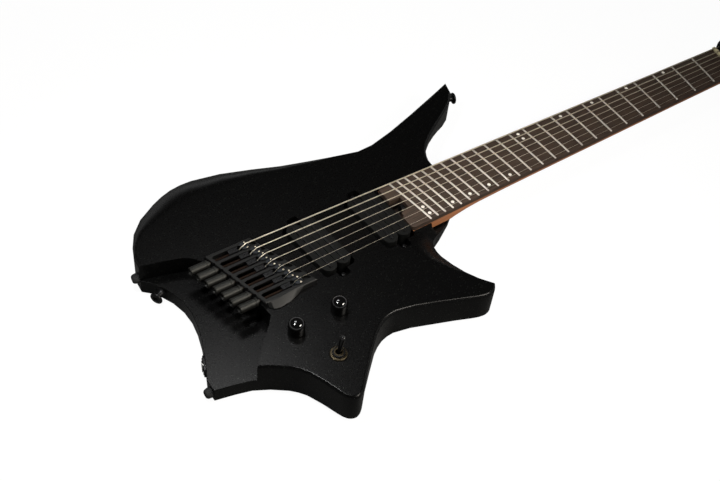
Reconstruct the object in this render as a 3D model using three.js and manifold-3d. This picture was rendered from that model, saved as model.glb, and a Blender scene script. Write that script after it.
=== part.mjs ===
// Headless seven-string electric guitar with fanned frets, in millimetres with +Z up.
// X runs from the tail to the head, Y towards the bass side, Z from the flat back to the strings.
// The origin lies on the flat back, under the board's centreline, at the bass scale's bridge line.

import * as THREE from 'three';
import { mergeVertices } from 'three/addons/utils/BufferGeometryUtils.js';
import Module from 'manifold-3d';

const wasm = await Module();
wasm.setup();

// Clearances and cuts
const seatGap = 0.3;
const runGap = 0.3;
const overrun = 5;

// Facets
const fineSides = 20;
const roundSides = 16;
const smallSides = 12;
const wireSides = 6;
const cornerSteps = 5;
const facetTurn = 10;
const wallSpacing = 13;

// Scales and board
const bassScale = 666.75;
const trebleScale = 641.35;
const nutSkew = 8.95;
const nutWidth = 47.3;
const lastFretWidth = 65.4;
const fretCount = 24;
const fretsPerOctave = 12;
const boardThickness = 6.5;
const crownRadius = 508;
const crownSteps = 6;
const boardOverhang = 15.2;
const boardCornerRadius = 5;
const fretWidth = 2.4;
const fretTopWidth = 1.3;
const fretHeight = 1.1;
const fretTang = 1;
const fretEndInset = 0.4;

// Nut and string lock
const nutLength = 4.5;
const nutRise = 2.2;
const firstFretAction = 0.5;
const lockDistance = 9;
const lockLength = 20;
const lockWidth = 48;
const lockRise = 8.5;
const lockChamfer = 2.6;
const lockStringDip = 0.5;

// Strings and their line, listed from the treble string to the bass string
const stringGauges = [0.254, 0.33, 0.43, 0.66, 0.91, 1.17, 1.5];
const setbackShares = [0.6, 0.64, 0.81, 0.92, 0.95, 0.92, 1.34];
const saddleSetback = 10;
const stringPitch = 11;
const nutSpread = 41;
const saddleAction = 4.4;
const diveAngle = 40;
const stringBite = 1.2;

// Neck
const neckDepth = 14;
const nutNeckDepth = 13.4;
const heelSet = 1.5;
const heelLength = 52;
const heelBlend = 40;
const headLength = 34;
const headDepth = 12.5;
const rodDiameter = 5;
const rodEndMargin = 24;
const wheelDiameter = 11;
const wheelThickness = 4.6;
const wheelHoleDiameter = 2;
const wheelHoleCount = 5;
const notchLength = 13.8;
const notchBassReach = 9.9;
const notchTrebleReach = 14.9;
const notchFloor = 4;

// Body
const bodyLength = 446;
const bodyWidth = 331;
const bodyThickness = 42;
const bevelReachShare = 0.09063444;
const bevelReach = bevelReachShare * bodyWidth;
const bevelPower = 1.7;
const topLevelShares = [0, 0.2, 0.45, 0.72, 1];
const backLevelShares = [1, 0.66, 0.33, 0];

// Each row holds the place along and across the body as shares of its length and width, then the
// inset and drop of the top edge and of the back edge as shares of the bevel's reach and thickness.
const outlineShares = {
  bassEdge: [
    [0.7377, 0.4320, 0.10, 0.071, 0.17, 0.214],
    [0.6570, 0.3943, 0.10, 0.071, 0.17, 0.190],
    [0.5785, 0.3580, 0.10, 0.071, 0.17, 0.167],
    [0.4978, 0.3233, 0.10, 0.071, 0.17, 0.167],
    [0.4260, 0.2991, 0.10, 0.071, 0.17, 0.143],
    [0.3812, 0.2961, 0.10, 0.071, 0.17, 0.143],
    [0.3139, 0.3187, 0.13, 0.071, 0.17, 0.119],
    [0.2511, 0.3459, 0.27, 0.107, 0.17, 0.119],
    [0.1883, 0.3746, 0.40, 0.143, 0.17, 0.119],
    [0.1211, 0.4139, 0.60, 0.190, 0.20, 0.119],
    [0.0493, 0.4517, 0.87, 0.238, 0.23, 0.119],
    [-0.0224, 0.4713, 1.00, 0.250, 0.23, 0.119],
    [-0.0807, 0.4668, 1.00, 0.250, 0.23, 0.119],
    [-0.1390, 0.4350, 0.90, 0.238, 0.20, 0.095],
    [-0.1883, 0.3912, 0.67, 0.190, 0.17, 0.095],
    [-0.2242, 0.3384, 0.33, 0.119, 0.13, 0.071],
    [-0.2466, 0.2840, 0.13, 0.071, 0.10, 0.071],
    [-0.2590, 0.2417, 0.10, 0.071, 0.10, 0.071],
  ],
  bassToe: [
    [-0.2590, 0.2417, 0.10, 0.071, 0.10, 0.071],
    [-0.2612, 0.1994, 0.10, 0.071, 0.10, 0.071],
  ],
  tail: [
    [-0.2612, 0.1994, 0.10, 0.071, 0.10, 0.071],
    [-0.2444, 0.1782, 0.07, 0.048, 0.10, 0.071],
    [-0.2298, 0.1495, 0.07, 0.048, 0.10, 0.071],
    [-0.2152, 0.1088, 0.07, 0.048, 0.10, 0.071],
    [-0.2063, 0.0604, 0.07, 0.048, 0.10, 0.071],
    [-0.2052, 0.0121, 0.07, 0.048, 0.10, 0.071],
    [-0.2108, -0.0363, 0.07, 0.048, 0.10, 0.071],
    [-0.2220, -0.0906, 0.07, 0.048, 0.10, 0.071],
    [-0.2388, -0.1511, 0.07, 0.048, 0.10, 0.071],
    [-0.2545, -0.1994, 0.07, 0.048, 0.10, 0.071],
    [-0.2635, -0.2266, 0.07, 0.048, 0.10, 0.071],
  ],
  trebleToe: [
    [-0.2635, -0.2266, 0.07, 0.048, 0.10, 0.071],
    [-0.2623, -0.2644, 0.07, 0.048, 0.10, 0.071],
  ],
  trebleFlank: [
    [-0.2623, -0.2644, 0.07, 0.048, 0.10, 0.071],
    [-0.2175, -0.2779, 0.07, 0.048, 0.10, 0.071],
    [-0.1805, -0.2915, 0.10, 0.060, 0.10, 0.071],
    [-0.1457, -0.3157, 0.10, 0.060, 0.10, 0.071],
    [-0.1121, -0.3474, 0.10, 0.060, 0.10, 0.071],
    [-0.0863, -0.3897, 0.10, 0.060, 0.13, 0.095],
    [-0.0695, -0.4411, 0.10, 0.060, 0.13, 0.119],
    [-0.0572, -0.4894, 0.10, 0.060, 0.17, 0.143],
    [-0.0460, -0.5166, 0.10, 0.060, 0.17, 0.143],
    [-0.0303, -0.5287, 0.10, 0.060, 0.17, 0.143],
    [-0.0146, -0.5227, 0.10, 0.060, 0.17, 0.143],
    [0.0022, -0.5015, 0.10, 0.060, 0.17, 0.143],
    [0.0247, -0.4683, 0.10, 0.060, 0.20, 0.143],
    [0.0605, -0.4215, 0.10, 0.071, 0.20, 0.143],
    [0.0987, -0.3731, 0.10, 0.071, 0.20, 0.143],
    [0.1345, -0.3444, 0.10, 0.071, 0.20, 0.143],
    [0.1704, -0.3369, 0.10, 0.071, 0.20, 0.143],
    [0.2130, -0.3489, 0.10, 0.071, 0.20, 0.143],
    [0.2646, -0.3731, 0.10, 0.071, 0.20, 0.143],
    [0.3139, -0.3988, 0.10, 0.071, 0.23, 0.167],
    [0.3543, -0.4199, 0.10, 0.071, 0.23, 0.167],
    [0.3812, -0.4290, 0.10, 0.071, 0.23, 0.167],
    [0.4036, -0.4199, 0.10, 0.071, 0.20, 0.143],
    [0.4159, -0.4003, 0.07, 0.071, 0.17, 0.143],
  ],
  trebleCutaway: [
    [0.4159, -0.4003, 0.07, 0.071, 0.17, 0.143],
    [0.3946, -0.3580, 0.10, 0.071, 0.27, 0.190],
    [0.3778, -0.3142, 0.13, 0.071, 0.33, 0.238],
    [0.3688, -0.2659, 0.43, 0.119, 0.33, 0.286],
    [0.3666, -0.2145, 0.80, 0.214, 0.33, 0.286],
    [0.3722, -0.1692, 0.97, 0.286, 0.27, 0.238],
    [0.3879, -0.1375, 1.00, 0.333, 0.17, 0.143],
    [0.4215, -0.1178, 0.67, 0.333, 0.10, 0.071],
    [0.4552, -0.0967, 0.40, 0.333, 0.10, 0.071],
    [0.4843, -0.0634, 0.13, 0.143, 0.10, 0.071],
    [0.5045, -0.0151, 0.10, 0.071, 0.10, 0.071],
    [0.5157, 0.0453, 0.10, 0.071, 0.13, 0.119],
    [0.5191, 0.0997, 0.10, 0.071, 0.33, 0.286],
    [0.5213, 0.1420, 0.10, 0.071, 0.53, 0.476],
    [0.5348, 0.1813, 0.10, 0.071, 0.73, 0.619],
    [0.5538, 0.2100, 0.10, 0.071, 0.80, 0.619],
    [0.5785, 0.2372, 0.10, 0.071, 0.73, 0.619],
    [0.6099, 0.2644, 0.10, 0.071, 0.60, 0.571],
    [0.6413, 0.2900, 0.10, 0.071, 0.47, 0.476],
    [0.6726, 0.3157, 0.10, 0.071, 0.30, 0.333],
    [0.7018, 0.3429, 0.10, 0.071, 0.20, 0.262],
    [0.7276, 0.3807, 0.10, 0.071, 0.17, 0.214],
  ],
  hornEnd: [
    [0.7276, 0.3807, 0.10, 0.071, 0.17, 0.214],
    [0.7377, 0.4320, 0.10, 0.071, 0.17, 0.214],
  ],
};

// Tail recess: its side walls as shares of the body's length and width, tail end first
const recessDepth = 22;
const recessSet = 1.4;
const recessCornerReach = 39;
const recessBassShares = [
  [-0.3363, 0.2296], [-0.2444, 0.1979], [-0.213, 0.1873], [-0.1861, 0.1767], [-0.1659, 0.1677],
  [-0.1513, 0.1571], [-0.1401, 0.1405],
];
const recessTrebleShares = [
  [-0.3363, -0.5], [-0.213, -0.3565], [-0.1709, -0.2961], [-0.126, -0.2308], [-0.0886, -0.1782],
  [-0.0762, -0.1571],
];

// Heel relief: places along the heel as shares of its length, heights as shares of the pocket's
// floor height, and how far the relief fades at places across as shares of the board's width
const reliefShares = [[-0.25, 0], [0.135, 0.214], [0.558, 0.536], [1.058, 1], [1.58, 1.6], [2.06, 2.14]];
const reliefFadeShares = [
  [-1.53, 0], [-1.07, 0.25], [-0.76, 0.45], [-0.46, 0.9], [0, 1], [0.46, 0.9], [0.76, 0.5],
  [1.15, 0.2], [1.53, 0],
];
const scoopTopShare = 0.442;
const scoopFootShare = 0.538;
const scoopSideShare = 0.47;

// Control cavity, its cover and the controls, placed as shares of the body's length and width
const cavityShares = [
  [-0.0942, -0.3021], [-0.0404, -0.429], [0.0202, -0.4199], [0.1009, -0.29], [0.0942, -0.1934],
  [-0.0852, -0.2024],
];
const cavityCornerRadius = 7;
const cavityRoof = 6;
const coverThickness = 2.5;
const coverLedge = 4;
const volumeShares = [-0.0518, -0.2459];
const toneShares = [0.0605, -0.2432];
const switchShares = [-0.0052, -0.3767];

const knobDiameter = 17.4;
const knobTopDiameter = 15.6;
const knobHeight = 16.4;
const knobDomeHeight = 3.4;
const knobWall = 3.2;
const knobLift = 0.8;
const potDiameter = 24;
const potHeight = 9;
const bushingDiameter = 7;
const shaftDiameter = 6;

const switchRingDiameter = 17.7;
const switchRingHeight = 1.6;
const switchBushingDiameter = 10;
const switchBushingRise = 3.6;
const switchBore = 6.8;
const switchBodyLength = 22;
const switchBodyWidth = 12;
const switchBodyHeight = 18;
const leverTilt = 22;
const leverBearing = 28.6;
const leverLength = 20.5;
const leverNeckDiameter = 3;
const leverTipDiameter = 5.4;
const leverPivotRise = 1.2;
const leverBallDiameter = 4.4;

// Output jack and its plate, on the tail edge
const jackRunShare = 0.815;
const jackHeight = 10;
const jackPlateLength = 23;
const jackPlateWidth = 13;
const jackPlateThickness = 3;
const jackPlateProud = 2;
const jackDiameter = 9.6;
const jackBore = 7;
const jackLength = 30;
const jackCollarDiameter = 11.4;
const jackCollarLength = 1.2;
const jackHoleDiameter = 12;

// Strap buttons and bumpers
const tailButtonRunShare = 0.205;
const tailButtonHeight = 12;
const hornButtonHeight = 21.5;
const buttonLength = 12;
const buttonBaseDiameter = 11;
const buttonWaistDiameter = 7;
const buttonHeadDiameter = 14;
const buttonHeadLength = 3.4;
const buttonSpigotDiameter = 4;
const buttonSpigotLength = 14;
const seatSink = 0.8;
const footDiameter = 11;
const footLength = 7.5;
const footSpigotDiameter = 4;
const footSpigotLength = 8;
const bassFootHeight = 18;
const trebleFootHeight = 10;

// Neck bolts
const boltDiameter = 4.6;
const boltHeadDiameter = 9;
const boltHeadLength = 3;
const boltBite = 10;
const boltSink = 4.5;
const boltAlongShares = [0.28, 0.72];
const boltAcrossShares = [-0.27, 0.27];

// Bridge: the chassis, its tail and front lines and its channels
const chassisTail = -44.7;
const chassisTailFan = 15.6;
const chassisFront = 11.2;
const chassisFrontFan = 20.5;
const chassisReach = 41;
const chassisHeight = 6.5;
const chassisEdge = 0.8;
const wingReach = 8.6;
const wingLip = 1.4;
const wingShares = [[0.04, 0.3], [0.094, 0.83], [0.213, 1], [0.424, 0.83], [0.605, 0.36], [0.74, 0.04]];
const channelWidth = 6;
const channelFloor = 1.4;
const tailPlateThickness = 4;
const frontWallThickness = 1.3;
const scallopRadius = 2.3;

// Bridge: saddles, carriages and tuners
const saddleNose = 3.6;
const saddleFoot = 6;
const saddleCrown = 1.2;
const saddleShoulder = 2.6;
const carriageLength = 11;
const carriageHeight = 5.6;
const carriageDistance = 9.2;
const tunerRodDiameter = 3;
const tunerRodRise = 3.2;
const tunerTravel = 4.2;
const slackTravel = 1;
const tunerKnobDiameter = 9.5;
const tunerKnobLength = 20.3;
const tunerKnobChamfer = 0.7;
const tunerDistance = 2.8;
const tunerCollarDiameter = 5.4;
const tunerGrooveDepth = 0.5;
const tunerGrooveWidth = 1.2;
const tunerHeadLength = 2.4;

// Pickups
const bridgePickupDistance = 54.3;
const neckPickupDistance = 131;
const pickupTurn = 5.5;
const routeLength = 78.4;
const routeWidth = 39.4;
const routeCornerRadius = 5;
const routeDepth = 16;
const earReach = 95;
const earWidth = 13;
const earCornerRadius = 3;
const frameThickness = 1.6;
const routeMargin = 1.2;
const bladeSpacing = 18;
const bladeLength = 65;
const bladeThickness = 2.4;
const bladeRise = 5;
const bobbinLength = 74;
const bobbinWidth = 17.4;
const bobbinRise = 4.3;

// Heights that several pieces share
const boardTop = bodyThickness + boardThickness;
const pocketFloor = bodyThickness - neckDepth;
const recessFloor = bodyThickness - recessDepth;
const cavityTop = bodyThickness - cavityRoof;
const fretTop = boardTop + fretHeight;
const chassisTop = bodyThickness + chassisHeight;
const channelBase = bodyThickness + channelFloor;
const rodAxis = bodyThickness + tunerRodRise;
const routeFloor = bodyThickness - routeDepth;

const degrees = Math.PI / 180;

// Looks
const look = (color, roughness, metalness) => new THREE.MeshStandardMaterial({ color, roughness, metalness });
const looks = {
  body: look(0x2b2b2d, 0.42, 0.25),
  maple: look(0xb87c54, 0.5, 0),
  board: look(0x3c2d28, 0.6, 0),
  bone: look(0xc8be96, 0.45, 0),
  string: look(0xd8d2c2, 0.3, 1),
  chassis: look(0x4a4845, 0.42, 0.8),
  saddle: look(0x6a6966, 0.38, 0.85),
  tuner: look(0x46463f, 0.35, 0.85),
  pickup: look(0x39393a, 0.6, 0),
  blade: look(0x55555a, 0.35, 0.9),
  gloss: look(0x0c0c0d, 0.12, 0),
  brass: look(0x6f6552, 0.4, 0.8),
  black: look(0x151516, 0.45, 0.2),
  steel: look(0xa9a9a6, 0.35, 0.9),
  rubber: look(0x161616, 0.85, 0),
};

// Solids from three.js geometries, cut and joined as closed meshes

function toSolid(source) {
  const bare = source.clone();
  bare.deleteAttribute('normal');
  bare.deleteAttribute('uv');
  const merged = mergeVertices(bare);
  const corners = merged.index.array;
  const kept = [];
  for (let i = 0; i < corners.length; i += 3) {
    const [a, b, c] = [corners[i], corners[i + 1], corners[i + 2]];
    if (a !== b && b !== c && c !== a) {
      kept.push(a, b, c);
    }
  }
  return new wasm.Manifold(new wasm.Mesh({
    numProp: 3,
    vertProperties: new Float32Array(merged.attributes.position.array),
    triVerts: new Uint32Array(kept),
  }));
}

function toGeometry(solid) {
  const data = solid.getMesh();
  const geometry = new THREE.BufferGeometry();
  geometry.setAttribute('position', new THREE.BufferAttribute(new Float32Array(data.vertProperties), 3));
  geometry.setIndex(new THREE.BufferAttribute(new Uint32Array(data.triVerts), 1));
  geometry.computeVertexNormals();
  return geometry;
}

const cutAll = (solid, cutters) => cutters.reduce((left, cutter) => left.subtract(cutter), solid);
const joinAll = (solids) => solids.reduce((joined, solid) => joined.add(solid));

// A closed skin through rings of points, capped at both ends; flat gives a point's place in a cap
function loft(rings, flat) {
  const count = rings[0].length;
  const places = rings.flat();
  const index = [];
  for (let ring = 0; ring + 1 < rings.length; ring += 1) {
    for (let i = 0; i < count; i += 1) {
      const next = (i + 1) % count;
      const a = ring * count + i;
      const b = ring * count + next;
      index.push(a, b, b + count, a, b + count, a + count);
    }
  }
  const addCap = (ring, offset, reversed) => {
    const contour = ring.map(flat);
    const facing = Math.sign(THREE.ShapeUtils.area(contour));
    for (const face of THREE.ShapeUtils.triangulateShape(contour, [])) {
      const turn = Math.sign(THREE.ShapeUtils.area(face.map((corner) => contour[corner])));
      const [a, b, c] = face.map((corner) => corner + offset);
      index.push(...((turn === facing) === reversed ? [a, c, b] : [a, b, c]));
    }
  };
  addCap(rings[0], 0, true);
  addCap(rings[rings.length - 1], count * (rings.length - 1), false);
  let volume = 0;
  for (let i = 0; i < index.length; i += 3) {
    const [a, b, c] = [places[index[i]], places[index[i + 1]], places[index[i + 2]]];
    volume += a.dot(b.clone().cross(c));
  }
  if (volume < 0) {
    for (let i = 0; i < index.length; i += 3) {
      [index[i + 1], index[i + 2]] = [index[i + 2], index[i + 1]];
    }
  }
  const geometry = new THREE.BufferGeometry().setFromPoints(places);
  geometry.setIndex(index);
  return geometry;
}

const seenFromTop = (point) => new THREE.Vector2(point.x, point.y);
const seenFromEnd = (point) => new THREE.Vector2(point.y, point.z);
const seenFromSide = (point) => new THREE.Vector2(point.x, point.z);
const at = (x, y, z) => new THREE.Vector3(x, y, z);
const flatAt = (x, y) => new THREE.Vector2(x, y);

// An upright prism over a plan outline
function prism(outline, bottom, top) {
  return loft([bottom, top].map((z) => outline.map((point) => at(point.x, point.y, z))), seenFromTop);
}

// A bar along Y with a profile drawn in X and Z
function bar(profile, fromY, toY) {
  return loft([fromY, toY].map((y) => profile.map((point) => at(point.x, y, point.y))), seenFromSide);
}

function block(from, to) {
  const size = to.clone().sub(from);
  const geometry = new THREE.BoxGeometry(size.x, size.y, size.z);
  geometry.translate(from.x + size.x / 2, from.y + size.y / 2, from.z + size.z / 2);
  return geometry;
}

// A round rod between two points
function rod(from, to, diameter, sides) {
  const axis = to.clone().sub(from);
  const geometry = new THREE.CylinderGeometry(diameter / 2, diameter / 2, axis.length(), sides);
  geometry.applyQuaternion(new THREE.Quaternion().setFromUnitVectors(at(0, 1, 0), axis.clone().normalize()));
  const middle = from.clone().addScaledVector(axis, 1 / 2);
  geometry.translate(middle.x, middle.y, middle.z);
  return geometry;
}

// A turned piece about its own Z axis from pairs of diameter and height
function turned(profile, sides) {
  const points = profile.map(([diameter, height]) => flatAt(diameter / 2, height));
  const geometry = new THREE.LatheGeometry(points, sides);
  geometry.rotateX(Math.PI / 2);
  return geometry;
}

// A plan outline with rounded corners, grown outwards by a distance; corners run anticlockwise
function roundedOutline(corners, radius, grow) {
  const outline = [];
  corners.forEach((corner, i) => {
    const before = corners[(i + corners.length - 1) % corners.length];
    const after = corners[(i + 1) % corners.length];
    const arriving = corner.clone().sub(before).normalize();
    const leaving = after.clone().sub(corner).normalize();
    const firstNormal = flatAt(arriving.y, -arriving.x);
    const lastNormal = flatAt(leaving.y, -leaving.x);
    const centre = corner.clone().addScaledVector(
      firstNormal.clone().add(lastNormal),
      -radius / (1 + firstNormal.dot(lastNormal)),
    );
    const start = firstNormal.angle();
    const turn = Math.atan2(arriving.cross(leaving), arriving.dot(leaving));
    for (let step = 0; step <= cornerSteps; step += 1) {
      const angle = start + turn * step / cornerSteps;
      outline.push(flatAt(Math.cos(angle), Math.sin(angle)).multiplyScalar(radius + grow).add(centre));
    }
  });
  return outline;
}

function rectangle(length, width) {
  return [
    flatAt(-length / 2, -width / 2), flatAt(length / 2, -width / 2),
    flatAt(length / 2, width / 2), flatAt(-length / 2, width / 2),
  ];
}

// A smooth plan curve through points, both ends included
function smoothCurve(points) {
  const curve = new THREE.CatmullRomCurve3(points.map((point) => at(point.x, point.y, 0)));
  const curvePoints = [];
  for (let i = 0; i + 1 < points.length; i += 1) {
    const steps = Math.max(1, Math.round(points[i].distanceTo(points[i + 1]) / wallSpacing));
    for (let step = 0; step < steps; step += 1) {
      curvePoints.push(seenFromTop(curve.getPoint((i + step / steps) / (points.length - 1))));
    }
  }
  curvePoints.push(points[points.length - 1].clone());
  return curvePoints;
}

const onBody = ([along, across]) => flatAt(along * bodyLength, across * bodyWidth);
const fanLine = (centre, fan, y) => centre - y * Math.tan(fan * degrees);

const guitar = new THREE.Group();

function addPiece(name, geometry, material, parent = guitar) {
  const mesh = new THREE.Mesh(geometry, material);
  mesh.name = name;
  parent.add(mesh);
  return mesh;
}

const addSolid = (name, solid, material, parent) => addPiece(name, toGeometry(solid), material, parent);

// Board edges, nut line and fret lines

const trebleNut = bassScale - nutSkew;
const fretShare = (fret) => 2 ** (-fret / fretsPerOctave);
const bassFret = (fret) => bassScale * fretShare(fret);
const trebleFret = (fret) => trebleNut - trebleScale * (1 - fretShare(fret));
const widening = (lastFretWidth - nutWidth) / 2;

function bassEdgeAt(x) {
  return nutWidth / 2 + widening * (bassScale - x) / (bassScale - bassFret(fretCount));
}

function trebleEdgeAt(x) {
  return -nutWidth / 2 - widening * (trebleNut - x) / (trebleNut - trebleFret(fretCount));
}

const nutLine = (y) => THREE.MathUtils.mapLinear(y, -nutWidth / 2, nutWidth / 2, trebleNut, bassScale);
const boardEnd = bassFret(fretCount) - boardOverhang;
const heelTail = boardEnd + heelSet;
const crownDrop = (y) => y * y / (2 * crownRadius);

// Bridge line: the two scales' ends, met by the board's edges drawn on to the tail
const bridgeBass = flatAt(0, bassEdgeAt(0));
const bridgeTreble = flatAt(trebleNut - trebleScale, trebleEdgeAt(trebleNut - trebleScale));
const bridgeLine = (y) => THREE.MathUtils.mapLinear(y, bridgeTreble.y, bridgeBass.y, bridgeTreble.x, bridgeBass.x);

// Strings: each has its place, its height and its path from the carriage to the lock
const strings = stringGauges.map((gauge, i) => {
  const count = stringGauges.length;
  const y = (i - (count - 1) / 2) * stringPitch;
  const nutY = nutSpread * (i / (count - 1) - 1 / 2);
  const breakX = bridgeLine(y) - setbackShares[i] * saddleSetback;
  const breakZ = boardTop + saddleAction - crownDrop(y);
  const nutZ = fretTop + firstFretAction + gauge / 2 - crownDrop(nutY);
  const bendX = breakX - slackTravel - runGap;
  const carriageFront = breakX - carriageDistance;
  const endX = carriageFront - stringBite;
  const endZ = breakZ - (bendX - endX) * Math.tan(diveAngle * degrees);
  const lockEnd = bassScale + lockDistance + lockLength * 0.75;
  const nutX = nutLine(nutY) + nutLength / 2;
  const lockY = nutY + (nutY - y) * (lockEnd - nutX) / (nutX - breakX);
  return {
    name: `string_${i + 1}`,
    number: i + 1,
    gauge,
    y,
    breakX,
    breakZ,
    carriageFront,
    path: [
      at(endX, y, endZ),
      at(bendX, y, breakZ),
      at(nutX, nutY, nutZ),
      at(lockEnd, lockY, nutZ - lockStringDip),
    ],
  };
});

// A string's round section, or a wider one with an open top for the slots that it runs in
function alongString(string, section) {
  const rings = string.path.map((point) => section.map((offset) => at(point.x, point.y + offset.x, point.z + offset.y)));
  return loft(rings, seenFromEnd);
}

function roundSection(diameter) {
  return Array.from({ length: wireSides }, (unused, i) => {
    const angle = 2 * Math.PI * i / wireSides;
    return flatAt(Math.cos(angle), Math.sin(angle)).multiplyScalar(diameter / 2);
  });
}

function slotSection(string) {
  const half = string.gauge / 2 + runGap;
  return [flatAt(-half, -half), flatAt(half, -half), flatAt(half, overrun), flatAt(-half, overrun)];
}

for (const string of strings) {
  addPiece(string.name, alongString(string, roundSection(string.gauge)), looks.string);
}

// Body outline, sampled run by run with the edge sizes that go with each point

function traceRun(rows) {
  const curve = new THREE.CatmullRomCurve3(rows.map((row) => at(...onBody(row), 0)));
  const samples = [];
  for (let i = 0; i + 1 < rows.length; i += 1) {
    const [from, to] = [i, i + 1].map((row) => curve.getTangent(row / (rows.length - 1)));
    const steps = Math.max(1, Math.round(from.angleTo(to) / (facetTurn * degrees)));
    for (let step = 0; step < steps; step += 1) {
      const share = step / steps;
      const mix = (column) => THREE.MathUtils.lerp(rows[i][column], rows[i + 1][column], share);
      samples.push({
        place: curve.getPoint((i + share) / (rows.length - 1)),
        topInset: mix(2) * bevelReach,
        topDrop: mix(3) * bodyThickness,
        backInset: mix(4) * bevelReach,
        backDrop: mix(5) * bodyThickness,
      });
    }
  }
  return samples;
}

// The place and outward direction at a share of a run, at a height
function edgePlace(run, share, height) {
  const curve = new THREE.CatmullRomCurve3(outlineShares[run].map((row) => at(...onBody(row), 0)));
  const place = curve.getPoint(share);
  const along = curve.getTangent(share);
  return { place: place.setZ(height), outward: at(along.y, -along.x, 0) };
}

const outline = Object.values(outlineShares).flatMap(traceRun);
const inwards = outline.map((sample, i) => {
  const before = outline[(i + outline.length - 1) % outline.length].place;
  const after = outline[(i + 1) % outline.length].place;
  const arriving = sample.place.clone().sub(before).normalize();
  const leaving = after.clone().sub(sample.place).normalize();
  return at(-arriving.y - leaving.y, arriving.x + leaving.x, 0).normalize();
});

const bodyRings = [
  ...backLevelShares.map((level) => outline.map((sample, i) => sample.place.clone()
    .addScaledVector(inwards[i], sample.backInset * level)
    .setZ(sample.backDrop * (1 - level) ** bevelPower))),
  ...topLevelShares.map((level) => outline.map((sample, i) => sample.place.clone()
    .addScaledVector(inwards[i], sample.topInset * level)
    .setZ(bodyThickness - sample.topDrop * (1 - level) ** bevelPower))),
];
const bodyBlank = toSolid(loft(bodyRings, seenFromTop));

// Neck pocket, treble scoop and heel relief

const pocketEnd = heelTail + heelLength * 2;
const pocketOutline = [
  flatAt(heelTail - seatGap, trebleEdgeAt(heelTail) - seatGap),
  flatAt(pocketEnd, trebleEdgeAt(pocketEnd) - seatGap),
  flatAt(pocketEnd, bassEdgeAt(pocketEnd) + seatGap),
  flatAt(heelTail - seatGap, bassEdgeAt(heelTail) + seatGap),
];
const pocket = prism(pocketOutline, pocketFloor, bodyThickness + overrun);

const scoop = bar([
  flatAt(heelTail + scoopTopShare * heelLength, bodyThickness),
  flatAt(heelTail + scoopFootShare * heelLength, pocketFloor),
  flatAt(pocketEnd, pocketFloor),
  flatAt(pocketEnd, bodyThickness + overrun),
  flatAt(heelTail + scoopTopShare * heelLength, bodyThickness + overrun),
], -lastFretWidth, -lastFretWidth * scoopSideShare);

const reliefHeight = (share) => {
  const row = reliefShares.findIndex(([along]) => along > share);
  const [before, after] = [reliefShares[row - 1], reliefShares[row]];
  return THREE.MathUtils.mapLinear(share, before[0], after[0], before[1], after[1]) * pocketFloor;
};
const relief = loft(reliefFadeShares.map(([across, fade]) => {
  const y = across * lastFretWidth;
  const upper = reliefShares.map(([along, height]) => at(heelTail + along * heelLength, y, height * fade * pocketFloor));
  return [
    ...upper,
    at(upper[upper.length - 1].x, y, -overrun),
    at(upper[0].x, y, -overrun),
  ];
}), seenFromSide);

// Tail recess, open at the tail and at the treble leg

const recessFront = (y) => flatAt(fanLine(chassisTail, chassisTailFan, y) - recessSet, y);
const recessOutline = [
  ...smoothCurve([...recessBassShares.map(onBody), recessFront(recessCornerReach)]),
  ...smoothCurve([recessFront(-recessCornerReach - recessSet), ...recessTrebleShares.map(onBody).reverse()]),
];
const recess = prism(recessOutline, recessFloor, bodyThickness + overrun);

// Control cavity with a ledge for its cover, and the holes of the controls

const cavityCorners = cavityShares.map(onBody);
const cavity = prism(roundedOutline(cavityCorners, cavityCornerRadius, 0), -overrun, cavityTop);
const ledge = prism(
  roundedOutline(cavityCorners, cavityCornerRadius, coverLedge),
  -overrun,
  coverThickness + seatGap,
);
const upright = (place, bottom, top, diameter, sides) => rod(
  at(place.x, place.y, bottom),
  at(place.x, place.y, top),
  diameter,
  sides,
);
const potPlaces = [onBody(volumeShares), onBody(toneShares)];
const switchPlace = onBody(switchShares);
const controlHoles = [
  ...potPlaces.map((place) => upright(
    place,
    cavityTop - overrun,
    bodyThickness + overrun,
    bushingDiameter + 2 * seatGap,
    roundSides,
  )),
  upright(
    switchPlace,
    cavityTop - overrun,
    bodyThickness + overrun,
    switchBushingDiameter + 2 * seatGap,
    roundSides,
  ),
];

// Pieces let into the edge: jack, strap buttons, bumpers

const jackEdge = edgePlace('tail', jackRunShare, jackHeight);
const tailButtonEdge = edgePlace('tail', tailButtonRunShare, tailButtonHeight);
const hornButtonEdge = edgePlace('hornEnd', 1 / 2, hornButtonHeight);
const bassFootEdge = edgePlace('bassToe', 1 / 2, bassFootHeight);
const trebleFootEdge = edgePlace('trebleToe', 1 / 2, trebleFootHeight);

const outFrom = (edge, distance) => edge.place.clone().addScaledVector(edge.outward, distance);
const edgeBore = (edge, depth, diameter, sides) => rod(outFrom(edge, -depth), outFrom(edge, overrun), diameter, sides);

const jackReach = (jackEdge.place.x - cavityCorners[0].x) / jackEdge.outward.x + cavityCornerRadius;
const jackPlateOutline = roundedOutline(
  rectangle(jackPlateLength, jackPlateWidth),
  jackPlateWidth / 2 * 0.98,
  0,
);
const jackSeatOutline = roundedOutline(
  rectangle(jackPlateLength, jackPlateWidth),
  jackPlateWidth / 2 * 0.98,
  seatGap,
);

// Stands a piece drawn with its own Z axis outwards at a place on the edge
function standOut(object, edge, distance) {
  const across = at(-edge.outward.y, edge.outward.x, 0);
  object.setRotationFromMatrix(new THREE.Matrix4().makeBasis(across, at(0, 0, 1), edge.outward));
  object.position.copy(outFrom(edge, distance));
  object.updateMatrix();
  return object;
}

const plateSink = jackPlateThickness - jackPlateProud;
const jackSeat = prism(jackSeatOutline, -plateSink - seatGap, overrun);
jackSeat.applyMatrix4(standOut(new THREE.Object3D(), jackEdge, 0).matrix);

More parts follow.
